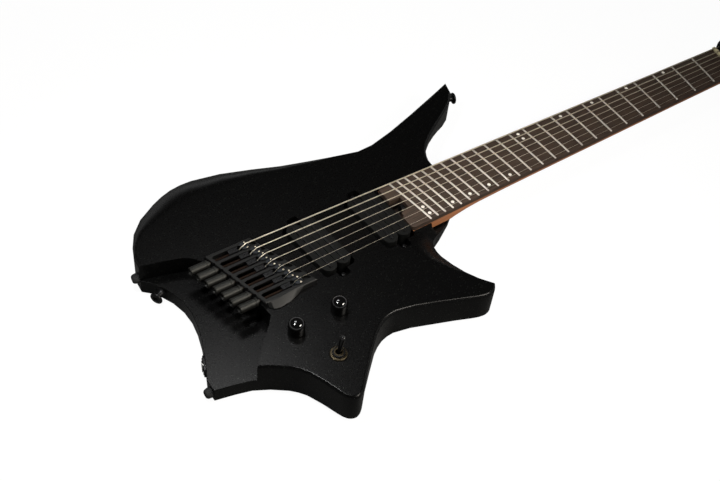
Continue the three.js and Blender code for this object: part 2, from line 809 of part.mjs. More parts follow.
const edgeCuts = [
  jackSeat,
  edgeBore(jackEdge, jackReach, jackHoleDiameter, roundSides),
  ...[tailButtonEdge, hornButtonEdge].flatMap((edge) => [
    edgeBore(edge, seatSink, buttonBaseDiameter + 2 * seatGap, roundSides),
    edgeBore(edge, buttonSpigotLength + seatSink + seatGap, buttonSpigotDiameter + 2 * seatGap, smallSides),
  ]),
  ...[bassFootEdge, trebleFootEdge].flatMap((edge) => [
    edgeBore(edge, seatSink, footDiameter + 2 * seatGap, roundSides),
    edgeBore(edge, footSpigotLength + seatSink + seatGap, footSpigotDiameter + 2 * seatGap, smallSides),
  ]),
];

// Neck bolts from the relieved back into the heel

const bolts = boltAlongShares.flatMap((along) => boltAcrossShares.map((across) => {
  const x = heelTail + along * heelLength;
  return { x, y: across * lastFretWidth, seat: reliefHeight(along) + boltSink };
}));
const boltCuts = bolts.flatMap((bolt) => [
  upright(bolt, -overrun, pocketFloor + boltBite + seatGap, boltDiameter + 2 * seatGap, smallSides),
  upright(bolt, -overrun, bolt.seat, boltHeadDiameter + 2 * seatGap, roundSides),
]);

// Pickup routes

const pickups = [
  { name: 'bridge_pickup', place: bridgePickupDistance },
  { name: 'neck_pickup', place: neckPickupDistance },
];

function turnedCut(outlinePoints, place, bottom, top) {
  const geometry = prism(outlinePoints, bottom, top);
  geometry.rotateZ(pickupTurn * degrees);
  geometry.translate(place, 0, 0);
  return geometry;
}

const routes = pickups.flatMap(({ place }) => [
  turnedCut(
    roundedOutline(rectangle(routeWidth, routeLength), routeCornerRadius, 0),
    place,
    routeFloor,
    bodyThickness + overrun,
  ),
  turnedCut(
    roundedOutline(rectangle(earWidth, earReach), earCornerRadius, 0),
    place,
    routeFloor,
    bodyThickness + overrun,
  ),
]);

const bodyCuts = [pocket, scoop, relief, recess, cavity, ledge, ...controlHoles, ...edgeCuts, ...boltCuts, ...routes];
addSolid('body', cutAll(bodyBlank, bodyCuts.map(toSolid)), looks.body);

addPiece(
  'control_cover',
  prism(roundedOutline(cavityCorners, cavityCornerRadius, coverLedge - seatGap), 0, coverThickness),
  looks.black,
);

// Neck: a squared heel that blends into a rounded back and runs on past the nut as a short head.
// A station gives its place, its depth and how square its back is.

function neckRing(x, depth, squareness) {
  const ring = [];
  const middle = (bassEdgeAt(x) + trebleEdgeAt(x)) / 2;
  const half = (bassEdgeAt(x) - trebleEdgeAt(x)) / 2;
  for (let step = 0; step <= roundSides; step += 1) {
    const angle = Math.PI * step / roundSides;
    const across = step * 2 === roundSides ? 0 : Math.sign(Math.cos(angle)) * Math.abs(Math.cos(angle)) ** (2 / squareness);
    const down = step % roundSides === 0 ? 0 : Math.sin(angle) ** (2 / squareness);
    ring.push(at(x, middle + half * across, bodyThickness - depth * down));
  }
  return ring;
}

const heelDepth = neckDepth - seatGap;
const heelEnd = heelTail + heelLength;
const neckEnd = bassScale + headLength;
const neckStations = [
  [heelTail, heelDepth, 9],
  [heelEnd, heelDepth, 9],
  [heelEnd + heelBlend / 4, heelDepth, 5],
  [heelEnd + heelBlend * 3 / 5, neckDepth, 3.2],
  [heelEnd + heelBlend, neckDepth, 2.6],
  [heelEnd + heelBlend * 2, neckDepth, 2.3],
  [bassFret(fretsPerOctave), neckDepth, 2.2],
  [bassFret(2), nutNeckDepth, 2.2],
  [bassScale - nutSkew, nutNeckDepth, 2.4],
  [bassScale + lockDistance, headDepth, 3.4],
  [neckEnd, headDepth, 4],
];
const neckBlank = toSolid(loft(neckStations.map((station) => neckRing(...station)), seenFromEnd));

const notchEnd = boardEnd + notchLength;
const wheelAxis = bodyThickness - seatGap - rodDiameter / 2;
const notchOutline = [
  flatAt(boardEnd - overrun, -notchTrebleReach),
  flatAt(boardEnd + heelSet + seatGap, -notchTrebleReach),
  flatAt(notchEnd, -wheelDiameter / 2 - 2 * seatGap),
  flatAt(notchEnd, notchBassReach),
  flatAt(boardEnd - overrun, notchBassReach),
];
const notch = toSolid(prism(notchOutline, pocketFloor + notchFloor, boardTop + overrun));
const rodEnd = nutLine(0) - rodEndMargin;
const rodSlotHalf = rodDiameter / 2 + seatGap;
const rodSlot = toSolid(block(
  at(notchEnd - overrun, -rodSlotHalf, wheelAxis - rodSlotHalf),
  at(rodEnd + seatGap, rodSlotHalf, bodyThickness + overrun),
));
addSolid('neck', cutAll(neckBlank, [notch, rodSlot, ...boltCuts.map(toSolid)]), looks.maple);

addPiece(
  'truss_rod',
  rod(at(notchEnd - seatGap, 0, wheelAxis), at(rodEnd, 0, wheelAxis), rodDiameter, smallSides),
  looks.steel,
);

const wheelBlank = toSolid(rod(
  at(notchEnd - 2 * seatGap - wheelThickness, 0, wheelAxis),
  at(notchEnd - 2 * seatGap, 0, wheelAxis),
  wheelDiameter,
  fineSides,
));
const wheelHoles = Array.from({ length: wheelHoleCount }, (unused, i) => {
  const angle = 2 * Math.PI * i / wheelHoleCount;
  const middle = at(notchEnd - 2 * seatGap - wheelThickness / 2, 0, wheelAxis);
  const outer = middle.clone().add(at(0, Math.sin(angle), Math.cos(angle)).multiplyScalar(wheelDiameter));
  return toSolid(rod(
    middle.clone().lerp(outer, 1 / 4),
    outer,
    wheelHoleDiameter,
    wireSides,
  ));
});
addSolid('truss_wheel', cutAll(wheelBlank, wheelHoles), looks.steel);

// Fretboard: a crowned board cut to its plan, with the frets pressed in

function crownBar(top) {
  const ring = (x) => {
    const points = [];
    for (let step = 0; step <= crownSteps; step += 1) {
      const y = lastFretWidth * (step / crownSteps - 1 / 2) * 1.1;
      points.push(at(x, y, top - crownDrop(y)));
    }
    points.push(at(x, points[crownSteps].y, bodyThickness));
    points.push(at(x, points[0].y, bodyThickness));
    return points;
  };
  return toSolid(loft([ring(boardEnd - overrun), ring(bassScale + overrun)], seenFromEnd));
}

const boardCorners = [
  flatAt(boardEnd, trebleEdgeAt(boardEnd)),
  flatAt(nutLine(-nutWidth / 2), -nutWidth / 2),
  flatAt(nutLine(nutWidth / 2), nutWidth / 2),
  flatAt(boardEnd, bassEdgeAt(boardEnd)),
];
const endRounding = roundedOutline([
  boardCorners[0],
  flatAt(boardCorners[1].x, boardCorners[0].y),
  flatAt(boardCorners[2].x, boardCorners[3].y),
  boardCorners[3],
], boardCornerRadius, 0);
const boardPlan = toSolid(prism(boardCorners, bodyThickness - overrun, boardTop + overrun));
const endPlan = toSolid(prism(endRounding, bodyThickness - overrun, boardTop + overrun));

function fretBar(fret) {
  const [bass, treble] = [bassFret(fret), trebleFret(fret)];
  const ends = [
    flatAt(treble, trebleEdgeAt(treble) + fretEndInset),
    flatAt(bass, bassEdgeAt(bass) - fretEndInset),
  ];
  return toSolid(loft(ends.map((end) => [
    at(end.x - fretWidth / 2, end.y, boardTop - crownDrop(end.y) - fretTang),
    at(end.x + fretWidth / 2, end.y, boardTop - crownDrop(end.y) - fretTang),
    at(end.x + fretWidth / 2, end.y, boardTop + fretHeight / 4),
    at(end.x + fretTopWidth / 2, end.y, fretTop + fretHeight / 4),
    at(end.x - fretTopWidth / 2, end.y, fretTop + fretHeight / 4),
    at(end.x - fretWidth / 2, end.y, boardTop + fretHeight / 4),
  ]), seenFromSide));
}

const frets = joinAll(Array.from({ length: fretCount }, (unused, i) => fretBar(i + 1))).intersect(crownBar(fretTop));
const board = crownBar(boardTop).intersect(boardPlan).intersect(endPlan).subtract(notch).add(frets);
addSolid('fretboard', board, looks.board);

// Nut on its skewed line, slotted for the strings

const nutFoot = (y, shift) => nutLine(y) + shift;
const nutCorners = [
  [-nutWidth / 2, seatGap],
  [-nutWidth / 2, seatGap + nutLength],
  [nutWidth / 2, seatGap + nutLength],
  [nutWidth / 2, seatGap],
].map(([y, shift]) => flatAt(nutFoot(y, shift), y));
const nutBlank = toSolid(prism(nutCorners, bodyThickness, boardTop + overrun)).intersect(crownBar(boardTop + nutRise));
addSolid(
  'nut',
  cutAll(nutBlank, strings.map((string) => toSolid(alongString(string, slotSection(string))))),
  looks.bone,
);

// String lock on the head: a block with one bore for each string

const lockFront = bassScale + lockDistance;
const lockTop = boardTop + lockRise;
const lockBlank = toSolid(bar([
  flatAt(lockFront, bodyThickness),
  flatAt(lockFront + lockLength, bodyThickness),
  flatAt(lockFront + lockLength, lockTop - lockChamfer),
  flatAt(lockFront + lockLength - lockChamfer, lockTop),
  flatAt(lockFront + lockChamfer, lockTop),
  flatAt(lockFront, lockTop - lockChamfer),
], -lockWidth / 2, lockWidth / 2));
addSolid(
  'string_lock',
  cutAll(lockBlank, strings.map((string) => toSolid(alongString(
    { path: string.path.map((point, i) => (i === 3 ? point.clone().setX(point.x + overrun) : point)) },
    roundSection(string.gauge + 4 * runGap),
  )))),
  looks.black,
);

// Bridge chassis: a low plate with a swept treble wing, seven channels and a perforated tail plate

const tailLine = (y) => fanLine(chassisTail, chassisTailFan, y);
const frontLine = (y) => fanLine(chassisFront, chassisFrontFan, y);

function chassisRing(height, wing, trim) {
  const tailEnd = tailLine(-chassisReach);
  const frontEnd = frontLine(-chassisReach);
  const edge = wingShares.map(([along, reach]) => at(
    THREE.MathUtils.lerp(tailEnd + trim, frontEnd - trim, along),
    -chassisReach + trim - wing * reach * wingReach,
    height,
  ));
  return [
    at(tailLine(-chassisReach) + trim, -chassisReach + trim, height),
    ...edge,
    at(frontLine(-chassisReach) - trim, -chassisReach + trim, height),
    at(frontLine(chassisReach) - trim, chassisReach - trim, height),
    at(tailLine(chassisReach) + trim, chassisReach - trim, height),
  ];
}

const chassisBlank = toSolid(loft([
  chassisRing(bodyThickness, 1, 0),
  chassisRing(bodyThickness + wingLip, 1, 0),
  chassisRing(chassisTop - chassisEdge, 0.12, 0),
  chassisRing(chassisTop, 0, chassisEdge),
], seenFromTop));

const channels = strings.map(({ y }) => prism([-channelWidth / 2, channelWidth / 2].flatMap((side) => {
  const ends = [
    flatAt(tailLine(y + side) + tailPlateThickness, y + side),
    flatAt(frontLine(y + side) - frontWallThickness, y + side),
  ];
  return side < 0 ? ends : ends.reverse();
}), channelBase, chassisTop + overrun));
const rodHoles = strings.map(({ y }) => rod(
  at(tailLine(y) - overrun, y, rodAxis),
  at(tailLine(y) + tailPlateThickness + overrun, y, rodAxis),
  tunerRodDiameter + 2 * runGap,
  smallSides,
));
const scallops = strings.slice(1).map(({ y }) => {
  const middle = y - stringPitch / 2;
  return rod(
    at(tailLine(middle) - scallopRadius / 2, middle, channelBase),
    at(tailLine(middle) - scallopRadius / 2, middle, chassisTop + overrun),
    2 * scallopRadius,
    smallSides,
  );
});
addSolid('bridge_chassis', cutAll(chassisBlank, [...channels, ...rodHoles, ...scallops].map(toSolid)), looks.chassis);

// Saddles, string carriages and tuners, one of each for every string

const slideWidth = channelWidth - 2 * runGap;
const slideBase = channelBase + runGap;

for (const string of strings) {
  const { number, y, breakX, breakZ, carriageFront } = string;
  const slackPath = string.path.map((point) => point.clone().setX(point.x + slackTravel));
  const slots = [string.path, slackPath].map((path) => toSolid(alongString({ path }, slotSection(string))));
  const crown = breakZ + string.gauge / 2;
  const saddleBlank = toSolid(bar([
    flatAt(breakX - saddleFoot, slideBase),
    flatAt(breakX + saddleNose, slideBase),
    flatAt(breakX + saddleNose, crown - saddleShoulder),
    flatAt(breakX + saddleCrown, crown),
    flatAt(breakX - slackTravel / 2, crown),
    flatAt(breakX - saddleFoot, slideBase + saddleCrown),
  ], y - slideWidth / 2, y + slideWidth / 2));
  addSolid(`saddle_${number}`, cutAll(saddleBlank, slots), looks.saddle);

  const carriageTail = carriageFront - carriageLength;
  const rodTip = carriageFront - stringBite - 2 * runGap - tunerTravel;
  const carriageBlank = toSolid(block(
    at(carriageTail, y - slideWidth / 2, slideBase),
    at(carriageFront, y + slideWidth / 2, slideBase + carriageHeight),
  ));
  const carriageBore = toSolid(rod(
    at(carriageTail - overrun, y, rodAxis),
    at(carriageFront - stringBite, y, rodAxis),
    tunerRodDiameter + 2 * runGap,
    smallSides,
  ));
  addSolid(`carriage_${number}`, cutAll(carriageBlank, [slots[0], carriageBore]), looks.saddle);

  const knobFace = tailLine(y) - tunerDistance;
  const along = (x) => x - knobFace;
  const knobEnd = along(knobFace - tunerKnobLength);
  const collarEnd = tunerDistance - runGap - Math.tan(chassisTailFan * degrees) * tunerCollarDiameter / 2;
  const tuner = addPiece(`tuner_${number}`, turned([
    [0, knobEnd + tunerKnobChamfer],
    [tunerRodDiameter, knobEnd],
    [tunerKnobDiameter - 2 * tunerKnobChamfer, knobEnd],
    [tunerKnobDiameter, knobEnd + tunerKnobChamfer],
    [tunerKnobDiameter, -tunerHeadLength - tunerGrooveWidth],
    [tunerKnobDiameter - 2 * tunerGrooveDepth, -tunerHeadLength - tunerGrooveWidth],
    [tunerKnobDiameter - 2 * tunerGrooveDepth, -tunerHeadLength],
    [tunerKnobDiameter, -tunerHeadLength],
    [tunerKnobDiameter, -tunerKnobChamfer],
    [tunerKnobDiameter - 2 * tunerKnobChamfer, 0],
    [tunerCollarDiameter, 0],
    [tunerCollarDiameter, collarEnd],
    [tunerRodDiameter, collarEnd],
    [tunerRodDiameter, along(rodTip)],
    [0, along(rodTip)],
  ], smallSides), looks.tuner);
  tuner.rotation.y = Math.PI / 2;
  tuner.position.set(knobFace, y, rodAxis);
}

// Pickups: a frame with two ears and two blades, and two bobbins over the blades

for (const { name, place } of pickups) {
  const pickup = new THREE.Group();
  pickup.position.set(place, 0, 0);
  pickup.rotation.z = pickupTurn * degrees;
  guitar.add(pickup);
  const base = routeFloor + seatGap;
  const baseTop = base + frameThickness;
  const blade = (x, grow, bottom, top) => block(
    at(x - bladeThickness / 2 - grow, -bladeLength / 2 - grow, bottom),
    at(x + bladeThickness / 2 + grow, bladeLength / 2 + grow, top),
  );
  const sides = [-bladeSpacing / 2, bladeSpacing / 2];
  addSolid(`${name}_frame`, joinAll([
    prism(roundedOutline(rectangle(routeWidth, routeLength), routeCornerRadius, -routeMargin), base, baseTop),
    prism(roundedOutline(rectangle(earWidth, earReach), earCornerRadius, -routeMargin), base, baseTop),
    ...sides.map((x) => blade(x, 0, base, bodyThickness + bladeRise)),
  ].map(toSolid)), looks.blade, pickup);
  sides.forEach((x, i) => {
    const bobbin = toSolid(prism(
      roundedOutline(rectangle(bobbinWidth, bobbinLength), bobbinWidth / 2 * 0.98, 0)
        .map((point) => flatAt(point.x + x, point.y)),
      baseTop + seatGap,
      bodyThickness + bobbinRise,
    ));
    const bladeSlot = toSolid(blade(x, seatGap, base, bodyThickness + bladeRise + overrun));
    addSolid(`${name}_bobbin_${i + 1}`, bobbin.subtract(bladeSlot), looks.pickup, pickup);
  });
}

// Volume and tone: a potentiometer under the roof of the cavity and a domed knob on its shaft

const potTop = cavityTop - seatGap;
const knobBase = bodyThickness + knobLift;
const shaftTop = knobBase + knobHeight - knobDomeHeight - knobWall - seatGap;
['volume', 'tone'].forEach((name, i) => {
  const pot = addPiece(`${name}_pot`, turned([
    [0, -potHeight],
    [potDiameter, -potHeight],
    [potDiameter, 0],
    [bushingDiameter, 0],
    [bushingDiameter, knobBase - seatGap - potTop],
    [shaftDiameter, knobBase - seatGap - potTop],
    [shaftDiameter, shaftTop - potTop],
    [0, shaftTop - potTop],
  ], roundSides), looks.steel);
  pot.position.set(potPlaces[i].x, potPlaces[i].y, potTop);

  const boreTop = shaftTop + seatGap - knobBase;
  const sideTop = knobHeight - knobDomeHeight;
  const knob = addPiece(`${name}_knob`, turned([
    [0, boreTop],
    [shaftDiameter + 2 * runGap, boreTop],
    [shaftDiameter + 2 * runGap, 0],
    [knobDiameter, 0],
    [knobDiameter, knobDomeHeight / 2],
    [knobTopDiameter, sideTop],
    [knobTopDiameter * 0.9, sideTop + knobDomeHeight * 0.55],
    [knobTopDiameter * 0.6, sideTop + knobDomeHeight * 0.9],
    [0, knobHeight],
  ], fineSides), looks.gloss);
  knob.position.set(potPlaces[i].x, potPlaces[i].y, knobBase);
});

// Toggle switch: the body under the roof, a flanged bushing and the lever at its end position

const switchBody = addPiece(
  'switch_body',
  new THREE.BoxGeometry(switchBodyLength, switchBodyWidth, switchBodyHeight),
  looks.steel,
);
switchBody.position.set(switchPlace.x, switchPlace.y, cavityTop - seatGap - switchBodyHeight / 2);

const bushingFoot = cavityTop - bodyThickness;
const switchBushing = addPiece('switch_bushing', turned([
  [switchBore, bushingFoot],
  [switchBushingDiameter, bushingFoot],
  [switchBushingDiameter, 0],
  [switchRingDiameter, 0],
  [switchRingDiameter, switchRingHeight / 2],
  [switchRingDiameter - switchRingHeight, switchRingHeight],
  [switchBushingDiameter, switchRingHeight],
  [switchBushingDiameter, switchBushingRise],
  [switchBore, switchBushingRise],
  [switchBore, bushingFoot],
], fineSides), looks.brass);
switchBushing.position.set(switchPlace.x, switchPlace.y, bodyThickness);

const lever = addPiece('switch_lever', turned([
  [0, -leverBallDiameter / 2],
  [leverBallDiameter * 0.7, -leverBallDiameter * 0.35],
  [leverBallDiameter, 0],
  [leverBallDiameter * 0.8, leverBallDiameter * 0.3],
  [leverNeckDiameter, leverBallDiameter / 2],
  [leverNeckDiameter, leverLength / 2],
  [leverTipDiameter, leverLength * 0.78],
  [leverTipDiameter * 0.95, leverLength * 0.9],
  [leverTipDiameter * 0.6, leverLength * 0.98],
  [0, leverLength],
], smallSides), looks.black);
const leverTurn = new THREE.Group();
leverTurn.position.set(switchPlace.x, switchPlace.y, bodyThickness + leverPivotRise);
leverTurn.rotation.z = leverBearing * degrees;
lever.rotation.y = leverTilt * degrees;
leverTurn.add(lever);
guitar.add(leverTurn);

// Output jack: an oval plate let into the tail edge and a barrel with a collar over it

const plateHole = toSolid(rod(
  at(0, 0, -plateSink - overrun),
  at(0, 0, jackPlateProud + overrun),
  jackDiameter + 2 * seatGap,
  roundSides,
));
const jackPlate = addSolid(
  'jack_plate',
  toSolid(prism(jackPlateOutline, -plateSink, jackPlateProud)).subtract(plateHole),
  looks.black,
);
standOut(jackPlate, jackEdge, 0);

const collarFoot = jackPlateProud + seatGap;
const jack = addPiece('output_jack', turned([
  [jackBore, collarFoot - jackLength],
  [jackDiameter, collarFoot - jackLength],
  [jackDiameter, collarFoot],
  [jackCollarDiameter, collarFoot],
  [jackCollarDiameter, collarFoot + jackCollarLength],
  [jackBore, collarFoot + jackCollarLength],
  [jackBore, collarFoot - jackLength],
], roundSides), looks.steel);
standOut(jack, jackEdge, 0);

// Strap buttons and bumpers

const buttonProfile = [
  [0, -buttonSpigotLength],
  [buttonSpigotDiameter, -buttonSpigotLength],
  [buttonSpigotDiameter, 0],
  [buttonBaseDiameter, 0],
  [buttonBaseDiameter, seatSink],
  [buttonWaistDiameter, buttonLength / 3],
  [buttonWaistDiameter, buttonLength - buttonHeadLength],
  [buttonHeadDiameter, buttonLength - buttonHeadLength / 2],
  [buttonHeadDiameter * 0.9, buttonLength],
  [0, buttonLength],
];
for (const [name, edge] of [['strap_button_tail', tailButtonEdge], ['strap_button_horn', hornButtonEdge]]) {
  standOut(addPiece(name, turned(buttonProfile, smallSides), looks.black), edge, seatGap - seatSink);
}

const footProfile = [
  [0, -footSpigotLength],
  [footSpigotDiameter, -footSpigotLength],
  [footSpigotDiameter, 0],
  [footDiameter, 0],
  [footDiameter * 0.92, footLength * 0.7],
  [footDiameter * 0.7, footLength],
  [0, footLength],
];
for (const [name, edge] of [['foot_bass', bassFootEdge], ['foot_treble', trebleFootEdge]]) {
  standOut(addPiece(name, turned(footProfile, smallSides), looks.rubber), edge, seatGap - seatSink);
}

// Neck bolts

bolts.forEach((bolt, i) => {
  const head = bolt.seat - seatGap;
  const piece = addPiece(`neck_bolt_${i + 1}`, turned([
    [0, -boltHeadLength],
    [boltHeadDiameter, -boltHeadLength],
    [boltHeadDiameter, 0],
    [boltDiameter, 0],
    [boltDiameter, pocketFloor + boltBite - head],
    [0, pocketFloor + boltBite - head],
  ], smallSides), looks.steel);
  piece.position.set(bolt.x, bolt.y, head);
});

export default guitar;
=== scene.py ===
"""Headless seven-string electric guitar with fanned frets: its visible pieces, finishes and stage.

Lengths are written in millimetres and turned to metres by MM. X runs from the tail to the head,
Y towards the bass side and Z up from the flat back. String 1 is the treble string, 7 the bass.
"""

import math

import bpy
from bpy.props import FloatProperty, FloatVectorProperty, IntProperty, PointerProperty
from mathutils import Matrix, Vector


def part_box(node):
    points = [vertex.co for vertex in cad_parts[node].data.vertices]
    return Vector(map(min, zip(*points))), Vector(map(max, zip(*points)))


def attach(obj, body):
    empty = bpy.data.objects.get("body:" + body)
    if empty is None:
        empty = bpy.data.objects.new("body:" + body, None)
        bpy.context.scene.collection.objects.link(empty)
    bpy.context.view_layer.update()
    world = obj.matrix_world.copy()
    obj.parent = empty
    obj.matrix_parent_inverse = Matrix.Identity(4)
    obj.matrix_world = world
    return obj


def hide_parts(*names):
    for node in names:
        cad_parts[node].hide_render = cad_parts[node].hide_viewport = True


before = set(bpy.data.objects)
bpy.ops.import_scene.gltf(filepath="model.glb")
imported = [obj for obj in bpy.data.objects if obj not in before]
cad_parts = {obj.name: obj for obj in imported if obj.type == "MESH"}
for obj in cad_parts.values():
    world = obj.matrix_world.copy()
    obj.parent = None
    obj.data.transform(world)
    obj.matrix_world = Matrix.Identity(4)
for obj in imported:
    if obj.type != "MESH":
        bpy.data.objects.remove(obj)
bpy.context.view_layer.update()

bl_info = {
    "name": "Headless Guitar",
    "version": (1, 0, 0),
    "blender": (4, 5, 0),
    "location": "3D View > Sidebar > Guitar",
    "description": "Models the visible pieces of a headless seven-string guitar on its frame",
    "category": "Add Mesh",
}

MM = 0.001
ROOT = "guitar"
STRINGS = range(1, 8)
SMOOTH = math.radians(38)

# The strings from treble to bass: their diameters, the first wound one, how far each breaks from the
# tail end of its saddle, and its dive behind that, with the place and the half length of its curve
GAUGES = (0.254, 0.33, 0.43, 0.66, 0.91, 1.17, 1.5)
WOUND_FROM = 4
SADDLE_TAIL = 6.0
DIVE = math.radians(40)
BEND_BACK = 1.3
EASE = 4.4

# Heights over the back, the board's crown, its end at the body and its two rounded corners there
BODY_TOP = 42.0
RECESS_FLOOR = 20.0
BOARD_TOP = 48.5
CROWN_RADIUS = 508.0
BOARD_END = 151.5
CORNER = 5.0

# The tuners: the height of their axis, the barrel's length, and the thread with the rod's reach
ROD_AXIS = 45.2
BARREL_LENGTH = 20.3
ROD_CREST = 2.9
ROD_ROOT = 2.4
ROD_REACH = 33
THREAD_PITCH = 0.7

# The bridge: heights of the saddles' shoulders, reaches to each side of a string, how far the channels'
# milling keeps from the tuner's face and from the break, a height clear of the plate, and how far along
# the string's groove is cut again
SHOULDER = (48.8, 50.2)
SHOULDER_REACH = 4.6
SCREW_REACH = 3.5
FIN_REACH = 1.4
CHANNEL_FLOOR = 43.4
MILLED_REACH = 3.9
MILLED_ENDS = (7.8, 6.2)
MILLED_TOP = 50.0
GROOVE_PLAY = 0.3
GROOVE_SHIFTS = (0.0, 0.35, 0.7, 1.05)

# The body's lip beside the neck: its end, its play to the board and its width at the top. The truss
# wheel's notch: its end, its sides, and where the treble side meets the wheel. The heel's
# end, up to which the maple is painted dark as shade.
LIP_END = 176.5
LIP_PLAY = 0.2
LIP_WIDTH = 1.6
NOTCH_END = 165.3
NOTCH_SIDES = (-14.9, 9.9)
WHEEL_SIDE = -6.1
HEEL_END = 153.3

# The head end: how far the strings spread at the nut and the lock, the nut's middle past its line, the
# floor of its slots, and where the strings end in the lock and how far they drop to it
NUT_SPREAD = 41.0
LOCK_SPREAD = 39.0
NUT_MIDDLE = 2.25
SLOT_FLOOR = 50.1
LOCK_PLACE = 690.75
LOCK_DROP = 0.5

# Places of the controls and of the pieces on the edge: a point and the way out, in plan
KNOB_SEAT = 42.8
LEVER_PIVOT = 43.2
LEVER_HEADING = math.radians(28.6)
LEVER_LEAN = math.radians(22)
KNOBS = {"volume": (-23.103, -81.393), "tone": (26.983, -80.499)}
SWITCH = (-2.319, -124.688)
EDGE_PLACES = {
    "output_jack": ((-107.561, -52.564, 10.0), (-0.9213, 0.3889, 0.0)),
    "strap_button_tail": ((-101.706, 49.125, 12.0), (-0.8675, -0.4974, 0.0)),
    "strap_button_horn": ((326.279, 134.630, 21.5), (0.9666, -0.2564, 0.0)),
    "foot_bass": ((-115.506, 72.967, 18.0), (-0.9976, 0.0699, 0.0)),
    "foot_treble": ((-116.754, -81.239, 10.0), (-0.9991, -0.0427, 0.0)),
}
JACK_SCREW_REACH = 8.6
PICKUP_TURN = math.radians(5.5)
PICKUP_SEAT = 37.0
PICKUP_SCREW_REACH = 42.6
PICKUPS = {"bridge_pickup": 54.3, "neck_pickup": 131.0}
COVER_CORNERS = ((-42.0, -100.0), (-18.0, -142.0), (9.0, -139.0), (45.0, -96.0), (42.0, -64.0),
                 (-38.0, -67.0))
DOT_SHARE = 0.52
DOT_RISE = 0.06
DOT_FRETS = {3: (0.815,), 5: (0.81,), 7: (0.81,), 9: (0.80,), 12: (0.80, 0.50),
             15: (-0.75,), 17: (-0.75,), 19: (-0.75,), 21: (-0.75,), 24: (-0.75, -0.43)}

# The camera of the photograph: what it looks at and from how far, its azimuth, elevation and roll,
# and its focal length in pixels of a picture of this width
CAMERA_AIM = (92.72, -20.05, 48.5)
CAMERA_DISTANCE = 1136.54
CAMERA_ANGLES = (-39.41, 48.56, 7.06)
FOCAL_PIXELS = 1096.02
PICTURE_WIDTH = 720
SENSOR_WIDTH = 36


def from_hex(code):
    """Linear colour of an sRGB hex value."""
    parts = [int(code[i:i + 2], 16) / 255 for i in (1, 3, 5)]
    return tuple(v / 12.92 if v <= 0.04045 else ((v + 0.055) / 1.055) ** 2.4 for v in parts)


def colour(label, code, says):
    return FloatVectorProperty(name=label, description=says, subtype="COLOR", size=3, min=0, max=1,
                               default=from_hex(code))


def length(label, millimetres, says):
    return FloatProperty(name=label, description=says, unit="LENGTH", min=0, default=millimetres * MM)


class GuitarColours(bpy.types.PropertyGroup):
    """The colours of the finishes."""
    lacquer: colour("Lacquer", "#050505", "Satin lacquer of the body")
    fleck: colour("Fleck", "#50534f", "Metallic fleck in the lacquer")
    maple: colour("Maple", "#b4764c", "Roasted maple of the neck")
    maple_grain: colour("Maple grain", "#96603c", "Dark grain of the roasted maple")
    board: colour("Board", "#43352b", "Fretboard wood")
    # This dark brown is also the maple's painted shade in the truss wheel's notch and at the heel's end.
    board_grain_and_shade: colour("Board grain", "#201713", "Pores and streaks of the fretboard wood")
    nickel: colour("Nickel silver", "#f0ebe0", "Fret wire")
    string: colour("String", "#f0e6d0", "String steel and nickel winding")
    bone: colour("Nut", "#d8cea6", "Cast nut")
    inlay: colour("Inlay", "#f2efe6", "Position dots")
    anodised: colour("Anodised", "#171716", "Blasted and anodised aluminium of the bridge")
    barrel: colour("Barrel", "#262623", "Knurled and anodised tuner barrels")
    saddle: colour("Saddle", "#24272b", "Machined saddles and carriages")
    bright: colour("Bright screw", "#f6ead0", "Plated set screws")
    pickup: colour("Pickup", "#0a0b0a", "Moulded pickup bobbins")
    iron: colour("Black steel", "#101011", "Blackened steel of frames, blades and screws")
    gloss: colour("Gloss", "#050505", "Polished black plastic of the knobs")
    rod: colour("Rod", "#3d2f27", "Browned steel of the tuners' threaded rods")
    brass: colour("Aged brass", "#4a4232", "Ring under the toggle")
    plastic: colour("Plastic", "#121212", "Matt black plastic")
    rubber: colour("Rubber", "#0c0c0c", "Moulded rubber")
    steel: colour("Steel", "#a8a8a4", "Plain turned steel")
    floor: colour("Floor", "#a4a4a2", "Pale studio floor")


class GuitarSizes(bpy.types.PropertyGroup):
    """The sizes that a user would change."""
    bass_scale: length("Bass scale", 666.75, "Length of the bass string from nut to bridge line")
    treble_scale: length("Treble scale", 641.35, "Length of the treble string from nut to bridge line")
    nut_skew: length("Nut skew", 8.95, "How far the treble end of the nut lies behind its bass end")
    nut_width: length("Nut width", 47.3, "Width of the board at the nut")
    last_fret_width: length("Width at last fret", 65.4, "Width of the board at fret 24")
    fret_width: length("Fret width", 2.4, "Width of the fret's crown")
    fret_rise: length("Fret rise", 1.1, "Height of the fret over the board")
    dot: length("Dot", 4.0, "Diameter of a position dot")
    barrel: length("Barrel", 9.5, "Diameter of a tuner barrel")
    knob: length("Knob", 17.4, "Diameter of a knob at its foot")
    outline: length("Outline rounding", 2.8, "Rounding of the body's outer edge at the top")
    edge: length("Edge rounding", 0.6, "Rounding of the body's cut edges")
    fine_edge: length("Fine edge rounding", 0.25, "Rounding of the machined edges")
    knurl: IntProperty(name="Knurl", description="Teeth round a tuner barrel", min=12, default=44)


# Finishes, and the depth of the relief in their surface

FINISH = {}
RELIEF = 0.05


def add(tree, kind, takes=None, **settings):
    """Adds one shader node, with its settings and with the values or links that it takes."""
    made = tree.nodes.new(kind)
    for name, value in settings.items():
        setattr(made, name, value)
    for socket, value in (takes or {}).items():
        if isinstance(value, bpy.types.NodeSocket):
            tree.links.new(value, made.inputs[socket])
        else:
            made.inputs[socket].default_value = value
    return made


def new_finish(name, base, roughness, metallic=0.0, **sockets):
    """A named material with its plain values on the shader's own sockets."""
    material = bpy.data.materials.new(name)
    material.use_nodes = True
    shader = material.node_tree.nodes["Principled BSDF"]
    shader.inputs["Base Color"].default_value = (*base, 1)
    shader.inputs["Roughness"].default_value = roughness
    shader.inputs["Metallic"].default_value = metallic
    for socket, value in sockets.items():
        shader.inputs[socket.replace("_", " ")].default_value = value
    FINISH[name] = material
    return material.node_tree, shader


